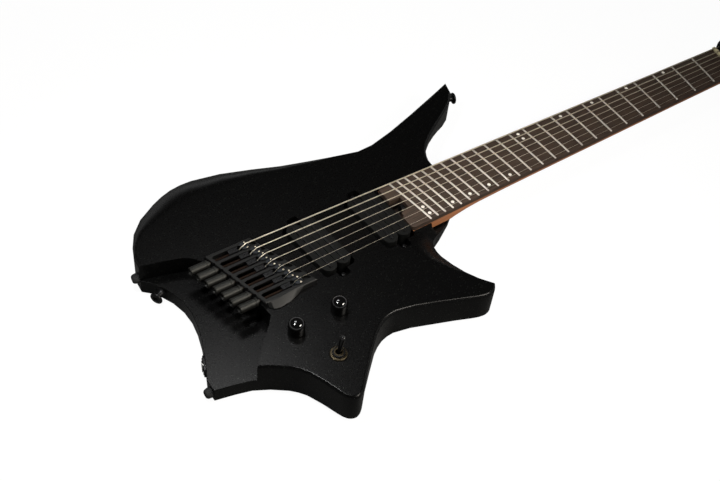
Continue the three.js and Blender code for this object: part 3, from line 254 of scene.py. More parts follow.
def mottle(name, base, other, size, stretch=(1, 1, 1), spread=(0.35, 0.65), relief=0.0, detail=3.0,
           **values):
    """A finish whose colour drifts between two tones over a noise of a real size, with a relief to match."""
    tree, shader = new_finish(name, base, **values)
    place = add(tree, "ShaderNodeTexCoord").outputs["Object"]
    laid = add(tree, "ShaderNodeMapping", {"Vector": place, "Scale": [1 / (size * MM * s) for s in stretch]})
    noise = add(tree, "ShaderNodeTexNoise", {"Vector": laid.outputs["Vector"], "Scale": 1.0,
                                             "Detail": detail})
    share = add(tree, "ShaderNodeMapRange", {"Value": noise.outputs["Fac"], "From Min": spread[0],
                                             "From Max": spread[1]})
    tone = add(tree, "ShaderNodeMix", {"Factor": share.outputs["Result"], "A": (*base, 1),
                                       "B": (*other, 1)}, data_type="RGBA")
    tree.links.new(tone.outputs["Result"], shader.inputs["Base Color"])
    if relief:
        bump = add(tree, "ShaderNodeBump", {"Height": noise.outputs["Fac"], "Strength": relief,
                                            "Distance": RELIEF * MM})
        tree.links.new(bump.outputs["Normal"], shader.inputs["Normal"])
    return tree, shader, place


def lacquer_finish(tones):
    # Polyester lacquer, sprayed over primer and rubbed to a satin: near black and soft in its shine,
    # with a fine metal fleck. The flakes are about 0.1 mm and are drawn as 0.6 mm to show at all.
    tree, shader = new_finish("satin_lacquer", tones.lacquer, 0.27, Specular_IOR_Level=0.14)
    place = add(tree, "ShaderNodeTexCoord").outputs["Object"]
    cells = add(tree, "ShaderNodeTexVoronoi", {"Vector": place, "Scale": 1 / (1.5 * MM)})
    near = add(tree, "ShaderNodeMath", {0: cells.outputs["Distance"], 1: 0.2}, operation="LESS_THAN")
    parts = add(tree, "ShaderNodeSeparateColor", {"Color": cells.outputs["Color"]})
    glint = add(tree, "ShaderNodeMath", {0: parts.outputs["Red"], 1: 6.0}, operation="POWER")
    speck = add(tree, "ShaderNodeMath", {0: near.outputs["Value"], 1: glint.outputs["Value"]},
                operation="MULTIPLY")
    tone = add(tree, "ShaderNodeMix", {"Factor": speck.outputs["Value"], "A": (*tones.lacquer, 1),
                                       "B": (*tones.fleck, 1)}, data_type="RGBA")
    tree.links.new(tone.outputs["Result"], shader.inputs["Base Color"])
    tree.links.new(speck.outputs["Value"], shader.inputs["Metallic"])
    # Spray leaves an orange peel with waves of about 1.5 mm.
    peel = add(tree, "ShaderNodeTexNoise", {"Vector": place, "Scale": 1 / (1.5 * MM), "Detail": 2.0})
    rough = add(tree, "ShaderNodeMapRange", {"Value": peel.outputs["Fac"], "To Min": 0.25, "To Max": 0.31})
    bump = add(tree, "ShaderNodeBump", {"Height": peel.outputs["Fac"], "Strength": 0.12,
                                        "Distance": RELIEF * MM})
    tree.links.new(rough.outputs["Result"], shader.inputs["Roughness"])
    tree.links.new(bump.outputs["Normal"], shader.inputs["Normal"])


def wood_finishes(tones):
    # Roasted maple, planed and oiled: warm brown, with long grain lines about 1.2 mm apart.
    tree, shader, place = mottle("roasted_maple", tones.maple, tones.maple_grain, 1.2, (60, 1, 1), relief=0.1,
                                 roughness=0.42)
    # The truss wheel's notch, a little past its sides, and the heel's end are painted dark as shade.
    middle, half = sum(NOTCH_SIDES) / 2, (NOTCH_SIDES[1] - NOTCH_SIDES[0]) / 2
    way = add(tree, "ShaderNodeSeparateXYZ", {"Vector": place})
    along = add(tree, "ShaderNodeMath", {0: way.outputs["X"], 1: (NOTCH_END + 0.2) * MM},
                operation="LESS_THAN")
    across = add(tree, "ShaderNodeMath", {0: way.outputs["Y"], 1: middle * MM,
                                          2: (half + 0.4) * MM}, operation="COMPARE")
    notch = add(tree, "ShaderNodeMath", {0: along.outputs["Value"], 1: across.outputs["Value"]},
                operation="MULTIPLY")
    end = add(tree, "ShaderNodeMath", {0: way.outputs["X"], 1: HEEL_END * MM}, operation="LESS_THAN")
    painted_notch_shade = add(tree, "ShaderNodeMath", {0: notch.outputs["Value"], 1: end.outputs["Value"]},
                operation="MAXIMUM")
    grain = shader.inputs["Base Color"].links[0].from_socket
    tone = add(tree, "ShaderNodeMix", {"Factor": painted_notch_shade.outputs["Value"], "A": grain,
                                       "B": (*tones.board_grain_and_shade, 1)}, data_type="RGBA")
    tree.links.new(tone.outputs["Result"], shader.inputs["Base Color"])
    # Dense rosewood-like board, sanded and oiled: open pores about 0.4 mm wide and 10 mm long.
    mottle("oiled_board", tones.board, tones.board_grain_and_shade, 0.8, (24, 1, 1), (0.42, 0.68), relief=0.35,
           detail=6.0, roughness=0.5)


def metal_finishes(tones):
    # Nickel silver wire, rolled and polished: bright and warm, with faint lengthwise marks.
    mottle("polished_nickel_silver", tones.nickel, [0.88 * v for v in tones.nickel], 0.5, (1, 8, 1),
           relief=0.05, roughness=0.4, metallic=1.0)
    # Plain music wire, drawn: fine lengthwise marks.
    mottle("drawn_wire", tones.string, [0.85 * v for v in tones.string], 0.2, (60, 1, 1), roughness=0.4,
           metallic=1.0)
    # Nickel winding: turns of 0.3 mm are drawn 0.8 mm apart so that they show, and the grooves
    # between the turns are painted darker as shade.
    tree, shader = new_finish("wound_nickel", tones.string, 0.42, 1.0)
    place = add(tree, "ShaderNodeTexCoord").outputs["Object"]
    turns = add(tree, "ShaderNodeTexWave", {"Vector": place, "Scale": math.pi / 10 / (0.8 * MM)},
                bands_direction="X")
    painted_turn_shade = [0.7 * v for v in tones.string]
    tone = add(tree, "ShaderNodeMix", {"Factor": turns.outputs["Fac"], "A": (*painted_turn_shade, 1),
                                       "B": (*tones.string, 1)}, data_type="RGBA")
    bump = add(tree, "ShaderNodeBump", {"Height": turns.outputs["Fac"], "Strength": 0.5,
                                        "Distance": 2 * RELIEF * MM})
    tree.links.new(tone.outputs["Result"], shader.inputs["Base Color"])
    tree.links.new(bump.outputs["Normal"], shader.inputs["Normal"])
    # Aluminium, bead blasted and anodised black: a matt grey sheen with a grit of about 0.3 mm.
    mottle("blasted_aluminium", tones.anodised, [0.8 * v for v in tones.anodised], 0.3, relief=0.25,
           roughness=0.5, metallic=0.6)
    # Aluminium, knurled and anodised black: the teeth are modelled, and a grit of about 0.4 mm dulls them.
    mottle("knurled_aluminium", tones.barrel, [0.75 * v for v in tones.barrel], 0.4, relief=0.2,
           roughness=0.45, metallic=0.7)
    # Zinc, milled and plated dark: cutter marks across each face about 0.4 mm apart.
    mottle("milled_zinc", tones.saddle, [0.75 * v for v in tones.saddle], 0.4, (1, 6, 1), relief=0.2,
           roughness=0.48, metallic=0.6)
    # Threaded rods, rolled from steel and browned by heat: a dull warm brown.
    mottle("browned_steel", tones.rod, [0.7 * v for v in tones.rod], 0.4, relief=0.1, roughness=0.4,
           metallic=0.8)
    # Set screws, turned and plated: small and bright.
    mottle("plated_screw", tones.bright, [0.8 * v for v in tones.bright], 0.3, relief=0.1, roughness=0.45,
           metallic=1.0)
    # Steel, stamped and blackened: thin oxide over a dull metal.
    mottle("blackened_steel", tones.iron, [1.6 * v for v in tones.iron], 0.6, relief=0.15, roughness=0.4,
           metallic=0.6)
    # Brass, turned and left to age: brown where it is handled least.
    mottle("aged_brass", tones.brass, [0.55 * v for v in tones.brass], 1.5, relief=0.1, roughness=0.33,
           metallic=0.9)
    # Steel, turned and zinc plated: a light grey shine with fine marks about 0.4 mm apart.
    mottle("turned_steel", tones.steel, [0.8 * v for v in tones.steel], 0.4, (1, 1, 4), relief=0.1,
           roughness=0.32, metallic=1.0)


def plastic_finishes(tones):
    # Polyester resin, cast and filed: creamy, with a dull polish.
    mottle("cast_resin", tones.bone, [0.86 * v for v in tones.bone], 2.0, relief=0.05, roughness=0.38)
    # Acrylic rod, sanded flush with the board: a soft white.
    mottle("acrylic_dot", tones.inlay, [0.92 * v for v in tones.inlay], 0.8, relief=0.05, roughness=0.3)
    # ABS, moulded with a fine texture of about 0.35 mm.
    mottle("moulded_abs", tones.pickup, [0.82 * v for v in tones.pickup], 0.35, relief=0.3, roughness=0.6,
           Specular_IOR_Level=0.15)
    # ABS, moulded and buffed: a deep gloss with hairline scuffs.
    mottle("polished_plastic", tones.gloss, [1.5 * v for v in tones.gloss], 3.0, relief=0.02, roughness=0.1,
           Coat_Weight=0.3)
    # ABS sheet, milled and left matt: an even dull black.
    mottle("matt_plastic", tones.plastic, [1.35 * v for v in tones.plastic], 0.4, relief=0.25, roughness=0.5)
    # Rubber, moulded: dull and slightly dusty.
    mottle("moulded_rubber", tones.rubber, [1.8 * v for v in tones.rubber], 0.7, relief=0.35, roughness=0.8)


# Modelling by hand

def pick(*objects):
    """Leaves just these objects selected, with the first one active."""
    if bpy.context.object and bpy.context.object.mode != "OBJECT":
        bpy.ops.object.mode_set(mode="OBJECT")
    bpy.ops.object.select_all(action="DESELECT")
    for each in objects:
        each.select_set(True)
    if objects:
        bpy.context.view_layer.objects.active = objects[0]


def edit(piece, everything=True):
    """Opens a piece in edit mode, with all or nothing selected."""
    pick(piece)
    bpy.ops.object.mode_set(mode="EDIT")
    bpy.ops.mesh.select_all(action="SELECT" if everything else "DESELECT")


def edit_again(piece):
    """Opens a piece in edit mode with what its mesh has selected."""
    pick(piece)
    bpy.ops.object.mode_set(mode="EDIT")


def leave():
    bpy.ops.object.mode_set(mode="OBJECT")
    return bpy.context.object


def place_now(piece):
    """Applies a piece's place, turn and size to its mesh."""
    pick(piece)
    bpy.ops.object.transform_apply(location=True, rotation=True, scale=True)
    return piece


def apply_modifier(piece, kind, **settings):
    pick(piece)
    made = piece.modifiers.new(kind.title(), kind)
    for name, value in settings.items():
        setattr(made, name, value)
    bpy.ops.object.modifier_apply(modifier=made.name)
    return piece


def soften(piece, width, segments=2, angle=38):
    """Rounds the sharp edges of a piece."""
    return apply_modifier(piece, "BEVEL", width=width, segments=segments, limit_method="ANGLE",
                          angle_limit=math.radians(angle), harden_normals=False)


def slice_off(piece, place, out):
    """Takes off what lies beyond a plane through a place in millimetres, and closes the cut."""
    edit(piece)
    bpy.ops.mesh.bisect(plane_co=Vector(place) * MM, plane_no=out, use_fill=True, clear_outer=True)
    leave()


def discard(*pieces):
    pick(*pieces)
    bpy.ops.object.delete()


def cut(piece, *cutters, operation="DIFFERENCE"):
    """Cuts other shapes out of a piece, or with UNION adds them to it, and uses them up."""
    for cutter in cutters:
        apply_modifier(piece, "BOOLEAN", object=cutter, operation=operation, solver="EXACT")
        discard(cutter)
    return piece


def joined(*pieces):
    pick(*pieces)
    bpy.ops.object.join()
    return bpy.context.object


def settle(piece, name, body, finish, slot, *replaced):
    """Names a finished piece, shades it, gives it its finish, ties it to its body and hides the nodes it
    replaces.
    """
    place_now(piece)
    bpy.ops.object.shade_smooth_by_angle(angle=SMOOTH)
    # Broad flat faces keep their own normals, and the roundings between them carry the turn of the shading.
    apply_modifier(piece, "WEIGHTED_NORMAL", keep_sharp=True)
    piece.name = piece.data.name = name
    piece.data.materials.clear()
    piece.data.materials.append(FINISH[finish])
    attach(piece, body)
    if replaced:
        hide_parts(*replaced)
    return piece


def keep_node(node, finish):
    """Gives a CAD node, which stays as it is, its finish."""
    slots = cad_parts[node].material_slots
    if not slots:
        raise RuntimeError(f"node {node} has no material slot")
    for each in slots:
        each.material = FINISH[finish]


def copy_of(node):
    """A merged copy of a CAD node, its flat faces made whole."""
    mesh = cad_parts[node].data.copy()
    piece = bpy.data.objects.new(node + "_copy", mesh)
    bpy.context.collection.objects.link(piece)
    edit(piece)
    bpy.ops.mesh.remove_doubles(threshold=0.002 * MM)
    bpy.ops.mesh.dissolve_limited(angle_limit=math.radians(0.6))
    return leave()


def fine_copy(node):
    """A merged copy of a CAD node with its machined edges rounded."""
    return soften(copy_of(node), sizes().fine_edge)


def another(piece):
    """A copy of a finished shape, with a mesh of its own."""
    made = bpy.data.objects.new(piece.name + "_more", piece.data.copy())
    bpy.context.collection.objects.link(made)
    return made


def moved(piece, x, y, z, turn=None):
    """Turns a piece about the origin and then carries it to a place in millimetres."""
    piece.matrix_world = Matrix.Translation(Vector((x, y, z)) * MM) @ (turn or Matrix.Identity(4))
    return place_now(piece)


def block(low, high):
    """A box between two corners in millimetres, made of one cube primitive."""
    low, high = Vector(low), Vector(high)
    pick()
    bpy.ops.mesh.primitive_cube_add(size=1, location=(low + high) / 2 * MM)
    bpy.context.object.scale = (high - low) * MM
    return place_now(bpy.context.object)


def disc_cylinder(diameter, low, high, sides):
    pick()
    bpy.ops.mesh.primitive_cylinder_add(vertices=sides, radius=diameter / 2 * MM, depth=(high - low) * MM,
                                        location=(0, 0, (low + high) / 2 * MM))
    return place_now(bpy.context.object)


def turned(profile, sides, knurled=None):
    """Turns a piece about Z: a disc is extruded and resized through pairs of diameter and height.
    Between the two steps named by knurled, every other side stands proud as a tooth."""
    pick()
    (diameter, height), *rest = profile
    bpy.ops.mesh.primitive_circle_add(vertices=sides, radius=diameter / 2 * MM, fill_type="NGON",
                                      location=(0, 0, height * MM))
    bpy.ops.object.transform_apply(location=True)
    edit(bpy.context.object)
    for next_diameter, next_height in rest:
        rise = (next_height - height) * MM
        bpy.ops.mesh.extrude_region_move(TRANSFORM_OT_translate={"value": (0, 0, rise)})
        share = next_diameter / diameter
        bpy.ops.transform.resize(value=(share, share, 1), center_override=(0, 0, next_height * MM))
        diameter, height = next_diameter, next_height
    bpy.ops.mesh.select_all(action="SELECT")
    bpy.ops.mesh.normals_make_consistent(inside=False)
    piece = leave()
    if knurled:
        first, last, depth = knurled
        for ring in range(first, last + 1):
            for side in range(0, sides, 2):
                vertex = piece.data.vertices[ring * sides + side]
                vertex.co.xy *= 1 - 2 * depth / profile[ring][0]
    return piece


def turned_ring(profile, sides):
    """Turns an open ring: the profile ends where it starts, and the discs across its bore are taken out."""
    piece = turned(profile, sides)
    edit(piece)
    bpy.ops.mesh.remove_doubles(threshold=0.002 * MM)
    bpy.ops.mesh.select_all(action="DESELECT")
    bpy.ops.mesh.select_mode(type="FACE")
    leave()
    for face in piece.data.polygons:
        face.select = len(face.vertices) > 4
    edit_again(piece)
    bpy.ops.mesh.delete(type="ONLY_FACE")
    bpy.ops.mesh.select_all(action="SELECT")
    bpy.ops.mesh.normals_make_consistent(inside=False)
    return leave()


def hex_socket(piece, across, floor, top):
    """Cuts a hexagon socket into a piece that stands on Z."""
    return cut(piece, disc_cylinder(across * 2 / math.sqrt(3), floor, top, 6))


def cross_slot(piece, reach, half, floor, top):
    """Cuts the two crossed slots of a screwdriver's bit into a piece that stands on Z."""
    return cut(piece, block((-reach, -half, floor), (reach, half, top)),
               block((-half, -reach, floor), (half, reach, top)))


def swept(paths, diameter, sides, ends=1.0):
    """Round wire along each path of points in millimetres; ends is the share of the diameter at its ends."""
    pick()
    bpy.ops.curve.primitive_bezier_curve_add()
    wire = bpy.context.object
    wire.data.splines.clear()
    for path in paths:
        spline = wire.data.splines.new("POLY")
        spline.points.add(len(path) - 1)
        for i, point in enumerate(path):
            spline.points[i].co = (*(Vector(point) * MM), 1)
            spline.points[i].radius = ends if i in (0, len(path) - 1) else 1.0
    wire.data.dimensions = "3D"
    wire.data.bevel_depth = diameter / 2 * MM
    wire.data.bevel_resolution = max(0, sides // 4 - 1)
    wire.data.use_fill_caps = True
    bpy.ops.object.convert(target="MESH")
    edit(bpy.context.object)
    bpy.ops.mesh.remove_doubles(threshold=0.001 * MM)
    bpy.ops.mesh.normals_make_consistent(inside=False)
    return leave()


def stand_out(direction):
    """The turn that stands a piece drawn on Z out along a direction, its Y kept upright."""
    out = Vector(direction).normalized()
    across = Vector((-out.y, out.x, 0))
    turn = Matrix((across, Vector((0, 0, 1)), out)).transposed()
    return turn.to_4x4()


# Lines that the neck's pieces share

def sizes():
    return bpy.context.scene.guitar_sizes


def tones():
    return bpy.context.scene.guitar_colours


def bass_fret(fret):
    return sizes().bass_scale / MM * 2 ** (-fret / 12)


def treble_nut():
    return (sizes().bass_scale - sizes().nut_skew) / MM


def treble_fret(fret):
    return treble_nut() - sizes().treble_scale / MM * (1 - 2 ** (-fret / 12))


def edge_at(x, bass):
    """Across place of the board's bass or treble edge at a place along it."""
    nut, last = sizes().nut_width / MM, sizes().last_fret_width / MM
    near, far = (bass_fret(0), bass_fret(24)) if bass else (treble_nut(), treble_fret(24))
    reach = nut / 2 + (last - nut) / 2 * (near - x) / (near - far)
    return reach if bass else -reach


def nut_line(y):
    nut = sizes().nut_width / MM
    return treble_nut() + (y + nut / 2) / nut * (bass_fret(0) - treble_nut())


def crown_drop(y):
    return y * y / (2 * CROWN_RADIUS)


def box_of(node):
    low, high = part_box(node)
    return low / MM, high / MM


def share_of(number):
    """A string's place across a row of seven, from -0.5 at the treble end to 0.5 at the bass end."""
    return (number - 1) / 6 - 0.5


def break_of(number):
    """Where a string leaves its saddle: along, across and height of the string's centre."""
    low, high = box_of(f"saddle_{number}")
    return low.x + SADDLE_TAIL, (low.y + high.y) / 2, high.z - GAUGES[number - 1] / 2


def bend_path(number):
    """A string's points from its carriage over its saddle, where it turns in an easy curve."""
    x, y, z = break_of(number)
    bend = x - BEND_BACK
    start = box_of(f"string_{number}")[0].x
    path = [(start, y, z - (bend - start) * math.tan(DIVE))]
    before = Vector((bend - EASE, y, z - EASE * math.tan(DIVE)))
    after = Vector((bend + EASE, y, z))
    middle = Vector((bend, y, z))
    for step in range(9):
        share = step / 8
        path.append(before.lerp(middle, share).lerp(middle.lerp(after, share), share))
    return path


class GUITAR_OT_finishes(bpy.types.Operator):
    """Mixes the finishes of all the pieces"""
    bl_idname = "guitar.finishes"
    bl_label = "Finishes"

    def execute(self, context):
        lacquer_finish(tones())
        wood_finishes(tones())
        metal_finishes(tones())
        plastic_finishes(tones())
        for node in ("truss_rod", "volume_pot", "tone_pot", "switch_body"):
            keep_node(node, "turned_steel")
        return {"FINISHED"}


class GUITAR_OT_stage(bpy.types.Operator):
    """Adds the floor, the lamps, the world and the camera"""
    bl_idname = "guitar.stage"
    bl_label = "Stage"

    def execute(self, context):
        pick()
        bpy.ops.mesh.primitive_plane_add(size=12, location=(0.3, 0, -0.3 * MM))
        floor = bpy.context.object
        floor.name = "studio_floor"
        # Painted board: the camera sees it near white with the guitar's shadow on it, and mirrors see it dim.
        tree, shader = new_finish("painted_floor", tones().floor, 0.9)
        rays = add(tree, "ShaderNodeLightPath")
        dim = add(tree, "ShaderNodeMath", {0: rays.outputs["Is Glossy Ray"], 1: 0.8}, operation="MULTIPLY")
        dull = add(tree, "ShaderNodeEmission", {"Color": (1, 1, 1, 1), "Strength": 0.06})
        laid = add(tree, "ShaderNodeMixShader", {0: dim.outputs["Value"], 1: shader.outputs["BSDF"],
                                                 2: dull.outputs["Emission"]})
        seen = add(tree, "ShaderNodeMath", {0: rays.outputs["Is Camera Ray"], 1: 0.86}, operation="MULTIPLY")
        white = add(tree, "ShaderNodeEmission", {"Color": (1, 1, 1, 1), "Strength": 1.12})
        both = add(tree, "ShaderNodeMixShader", {0: seen.outputs["Value"], 1: laid.outputs["Shader"],
                                                 2: white.outputs["Emission"]})
        tree.links.new(both.outputs["Shader"], tree.nodes["Material Output"].inputs["Surface"])
        floor.data.materials.append(FINISH["painted_floor"])

        world = bpy.data.worlds.new("studio")
        context.scene.world = world
        world.use_nodes = True
        tree = world.node_tree
        rays = add(tree, "ShaderNodeLightPath")
        sky = add(tree, "ShaderNodeTexCoord").outputs["Generated"]
        way = add(tree, "ShaderNodeSeparateXYZ", {"Vector": sky})
        slope = add(tree, "ShaderNodeMath", {0: way.outputs["Z"]}, operation="ABSOLUTE")
        rise = add(tree, "ShaderNodeMapRange", {"Value": slope.outputs["Value"], "From Min": 0.03,
                                                "From Max": 0.3, "To Min": 1.0, "To Max": 0.02})
        # Mirrors see the white backdrop as a band at the horizon, and the dark ceiling above it.
        mirror = add(tree, "ShaderNodeMix", {"Factor": rays.outputs["Is Glossy Ray"], "A": 0.06,
                                             "B": rise.outputs["Result"]})
        clear = add(tree, "ShaderNodeMath", {0: rays.outputs["Is Camera Ray"],
                                             1: rays.outputs["Is Transmission Ray"]}, operation="MAXIMUM")
        level = add(tree, "ShaderNodeMix", {"Factor": clear.outputs["Value"], "A": mirror.outputs["Result"],
                                            "B": 1.0})
        tree.links.new(level.outputs["Result"], tree.nodes["Background"].inputs["Strength"])
        tree.nodes["Background"].inputs["Color"].default_value = (1, 1, 1, 1)

        # A small key lamp over the tail gives the short shadows, a warm strip at the treble side lights the
        # strings and the knobs' shoulders, and a softbox over the bass side is what the lacquer mirrors.
        self.lamp("key_lamp", (-180, 15, 640), (30, -60, 42), (80, 80), 1.7, 130)
        self.lamp("warm_strip", (480, -700, 790), (60, -40, 42), (520, 260), 2.1, 72, (1.0, 0.94, 0.86))
        self.lamp("sheen_softbox", (130, 427, 1040), (0, -60, 42), (300, 170), 0.85, 120)

        context.scene.view_settings.view_transform = "Standard"
        # The camera stands over the treble side of the tail, on the photograph's line of sight.
        pick()
        bpy.ops.object.camera_add()
        camera = bpy.context.object
        camera.name = "camera"
        azimuth, elevation, roll = (math.radians(angle) for angle in CAMERA_ANGLES)
        back = Vector((math.sin(azimuth) * math.cos(elevation), -math.cos(azimuth) * math.cos(elevation),
                       math.sin(elevation)))
        right = (-back).cross(Vector((0, 0, 1))).normalized()
        turn = Matrix((right, back.cross(right), back)).transposed()
        turn = turn @ Matrix.Rotation(roll, 3, "Z")
        stand = Vector(CAMERA_AIM) + back * CAMERA_DISTANCE
        camera.matrix_world = Matrix.LocRotScale(stand * MM, turn, None)
        camera.data.sensor_width = SENSOR_WIDTH
        camera.data.lens = FOCAL_PIXELS / PICTURE_WIDTH * SENSOR_WIDTH
        camera.data.clip_start, camera.data.clip_end = 0.05, 50
        context.scene.camera = camera
        return {"FINISHED"}

    def lamp(self, name, place, aim, size, watts, spread, tint=(1, 1, 1)):
        """A rectangular lamp at a place in millimetres, turned to what it lights."""
        pick()
        bpy.ops.object.light_add(type="AREA", location=Vector(place) * MM)
        lamp = bpy.context.object
        lamp.name = name
        lamp.rotation_euler = (Vector(aim) - Vector(place)).to_track_quat("-Z", "Y").to_euler()
        lamp.data.shape = "RECTANGLE"
        lamp.data.size, lamp.data.size_y = (side * MM for side in size)
        lamp.data.energy = watts
        lamp.data.color = tint
        lamp.data.spread = math.radians(spread)


class GUITAR_OT_body(bpy.types.Operator):
    """Adds the lacquered body with softened edges, and the cover of the control cavity with its screws"""
    bl_idname = "guitar.body"
    bl_label = "Body and cover"

    def execute(self, context):
        body = copy_of("body")
        cut(body, self.lip(), operation="UNION")
        self.round_outline(body)
        soften(body, sizes().edge, 2, 40)
        settle(body, "body_lacquered", ROOT, "satin_lacquer", "body_finish", "body")

        cover = fine_copy("control_cover")
        heads = []
        for x, y in COVER_CORNERS:
            cut(cover, moved(turned([(6.4, -0.5), (6.4, 0.3), (3.0, 2.0)], 24), x, y, 0))
            head = turned([(3.0, 1.9), (5.8, 0.4), (5.4, 0.15)], 24)
            heads.append(moved(cross_slot(head, 1.9, 0.35, -1, 0.9), x, y, 0))
        settle(cover, "control_cover_plate", ROOT, "matt_plastic", "black_plastic", "control_cover")
        settle(joined(*heads), "control_cover_screws", ROOT, "blackened_steel", "black_metal")
        return {"FINISHED"}

    def lip(self):
        """The body's rim against the neck's treble side, from the board's end to the scoop."""
        lip = block((BOARD_END + 2, -38, 30), (LIP_END, -30, BODY_TOP - 0.1))
        for vertex in lip.data.vertices:
            if vertex.co.y > -31 * MM:
                vertex.co.y = (edge_at(vertex.co.x / MM, False) - LIP_PLAY) * MM
            elif vertex.co.z > 40 * MM:
                vertex.co.y = (edge_at(vertex.co.x / MM, False) - LIP_WIDTH) * MM
        return lip

    def round_outline(self, body):
        """Rounds the edges between the flat tops and the walls that run down to the back."""
        mesh = body.data
        walls = {}
        for face in mesh.polygons:
            low = min(mesh.vertices[i].co.z for i in face.vertices)
            off = min(abs(face.center.z - level * MM) for level in (BODY_TOP, RECESS_FLOOR))
            flat = face.normal.z > 0.99 and off < 0.1 * MM
            wall = abs(face.normal.z) < 0.4 and low < 12 * MM
            for key in face.edge_keys:
                walls.setdefault(key, set()).add("top" if flat else "wall" if wall else "other")
        edit(body, False)
        bpy.ops.mesh.select_mode(type="EDGE")
        leave()
        for line in mesh.edges:
            line.select = walls[line.key] == {"top", "wall"}
        edit_again(body)
        bpy.ops.mesh.bevel(offset=sizes().outline, segments=4, clamp_overlap=True)
        leave()


class GUITAR_OT_neck(bpy.types.Operator):
    """Adds the maple neck, its four bolts and the truss wheel"""
    bl_idname = "guitar.neck"
    bl_label = "Neck"

    def execute(self, context):
        neck = soften(copy_of("neck"), sizes().fine_edge, 2, 50)
        settle(neck, "neck_maple", ROOT, "roasted_maple", "maple", "neck")
        bolt = turned([(4.6, 27.7), (4.6, 0.6), (9.0, 0.0), (9.0, -2.5), (8.0, -3.0)], 32)
        hex_socket(bolt, 4.0, -3.5, -1.0)
        for number in range(1, 5):
            low, high = box_of(f"neck_bolt_{number}")
            piece = moved(another(bolt), (low.x + high.x) / 2, (low.y + high.y) / 2, low.z + 3)
            # The shank ends where the node's does.
            slice_off(piece, (0, 0, high.z), (0, 0, 1))
            settle(piece, f"neck_bolt_head_{number}", ROOT, "turned_steel", "steel", f"neck_bolt_{number}")
        discard(bolt)
        settle(fine_copy("truss_wheel"), "truss_wheel_spoked", "truss_wheel", "blackened_steel", "steel",
               "truss_wheel")
        return {"FINISHED"}


class GUITAR_OT_board(bpy.types.Operator):
    """Adds the crowned fretboard, its frets and its position dots, and the nut"""
    bl_idname = "guitar.board"
    bl_label = "Fretboard"

    def execute(self, context):
        self.board()
        self.frets()
        self.dots()
        settle(fine_copy("nut"), "nut_cast", ROOT, "cast_resin", "bone", "nut")
        return {"FINISHED"}

    def board(self):
        """A block cut lengthwise into strips, its top dropped to the crown, then sliced to its plan."""
        board = block((BOARD_END - 4, -36, BODY_TOP), (bass_fret(0) + 4, 36, BOARD_TOP))
        edit(board)
        for strip in range(-35, 36):
            bpy.ops.mesh.select_all(action="SELECT")
            bpy.ops.mesh.bisect(plane_co=(0, strip * MM, 0), plane_no=(0, 1, 0))
        leave()
        for vertex in board.data.vertices:
            if vertex.co.z > (BOARD_TOP - 1) * MM:
                vertex.co.z = (BOARD_TOP - crown_drop(vertex.co.y / MM)) * MM
        corners = [(BOARD_END, edge_at(BOARD_END, True)), (bass_fret(0), edge_at(bass_fret(0), True)),
                   (treble_nut(), edge_at(treble_nut(), False)), (BOARD_END, edge_at(BOARD_END, False))]
        slices = []
        for (x0, y0), (x1, y1) in zip(corners, corners[1:] + corners[:1]):
            slices.append(((x0, y0), Vector((y0 - y1, x1 - x0)).normalized()))
        # The two corners at the body end are rounded by slices along the arc's tangents.
        for side in (-1, 1):
            middle = Vector((BOARD_END + CORNER, edge_at(BOARD_END, side > 0) - side * CORNER))
            for degrees in range(10, 90, 10):
                way = Vector((-math.cos(math.radians(degrees)), side * math.sin(math.radians(degrees))))
                slices.append((middle + CORNER * way, way))
        for place, out in slices:
            slice_off(board, (*place, 0), (*out, 0))
        # The truss wheel's notch: its treble side slants in to the wheel, and its mouth is flared.
        notch = block((140, NOTCH_SIDES[0], 30), (NOTCH_END, NOTCH_SIDES[1], 60))
        for vertex in notch.data.vertices:
            if vertex.co.y < 0 and vertex.co.x > 0.15:
                vertex.co.y = WHEEL_SIDE * MM
            elif vertex.co.y < 0:
                vertex.co.x = BOARD_END * MM - 0.015
        flare = block((140, NOTCH_SIDES[0], 30), (BOARD_END + 1.8, 0, 60))
        cut(board, notch, flare)
        soften(board, 0.5 * MM, 2, 50)
        settle(board, "fretboard_wood", ROOT, "oiled_board", "board", "fretboard")

    def frets(self):
        """Round wire sunk so far that the fret's rise stands over the board, drawn in at its ends."""
        wide, rise, inset = sizes().fret_width / MM, sizes().fret_rise / MM, 0.4
        paths = []
        for fret in range(1, 25):
            bass, treble = bass_fret(fret), treble_fret(fret)
            ends = [Vector((treble, edge_at(treble, False) + inset, 0)),
                    Vector((bass, edge_at(bass, True) - inset, 0))]
            path = []
            for share in (0, 0.012, 0.03, 0.125, 0.25, 0.375, 0.5, 0.625, 0.75, 0.875, 0.97, 0.988, 1):
                point = ends[0].lerp(ends[1], share)
                point.z = BOARD_TOP + rise - wide / 2 - crown_drop(point.y)
                path.append(point)
            paths.append(path)
        wires = swept(paths, wide, 16, 0.35)
        edit(wires)
        bpy.ops.mesh.separate(type="LOOSE")
        leave()
        singles = sorted(bpy.context.selected_objects, key=lambda each: -each.bound_box[0][0])
        for fret, piece in enumerate(singles, start=1):
            settle(piece, f"fret_{fret}", ROOT, "polished_nickel_silver", "board")

    def dots(self):
        """Discs let into the board, a hair proud of its crown."""
        dot = soften(disc_cylinder(sizes().dot / MM, -1.5, 0.0, 32), 0.08 * MM, 1)
        placed = []
        for fret, shares in DOT_FRETS.items():
            for share in shares:
                ends = [Vector((treble_fret(n), edge_at(treble_fret(n), False), 0)) for n in (fret - 1, fret)]
                fars = [Vector((bass_fret(n), edge_at(bass_fret(n), True), 0)) for n in (fret - 1, fret)]
                lines = [near.lerp(far, (share + 1) / 2) for near, far in zip(ends, fars)]
                spot = lines[0].lerp(lines[1], DOT_SHARE)
                lean = Matrix.Rotation(-math.asin(spot.y / CROWN_RADIUS), 4, "X")
                face = BOARD_TOP - crown_drop(spot.y) + DOT_RISE
                placed.append(moved(another(dot), spot.x, spot.y, face, lean))
        discard(dot)
        settle(joined(*placed), "position_dots", ROOT, "acrylic_dot", "board")


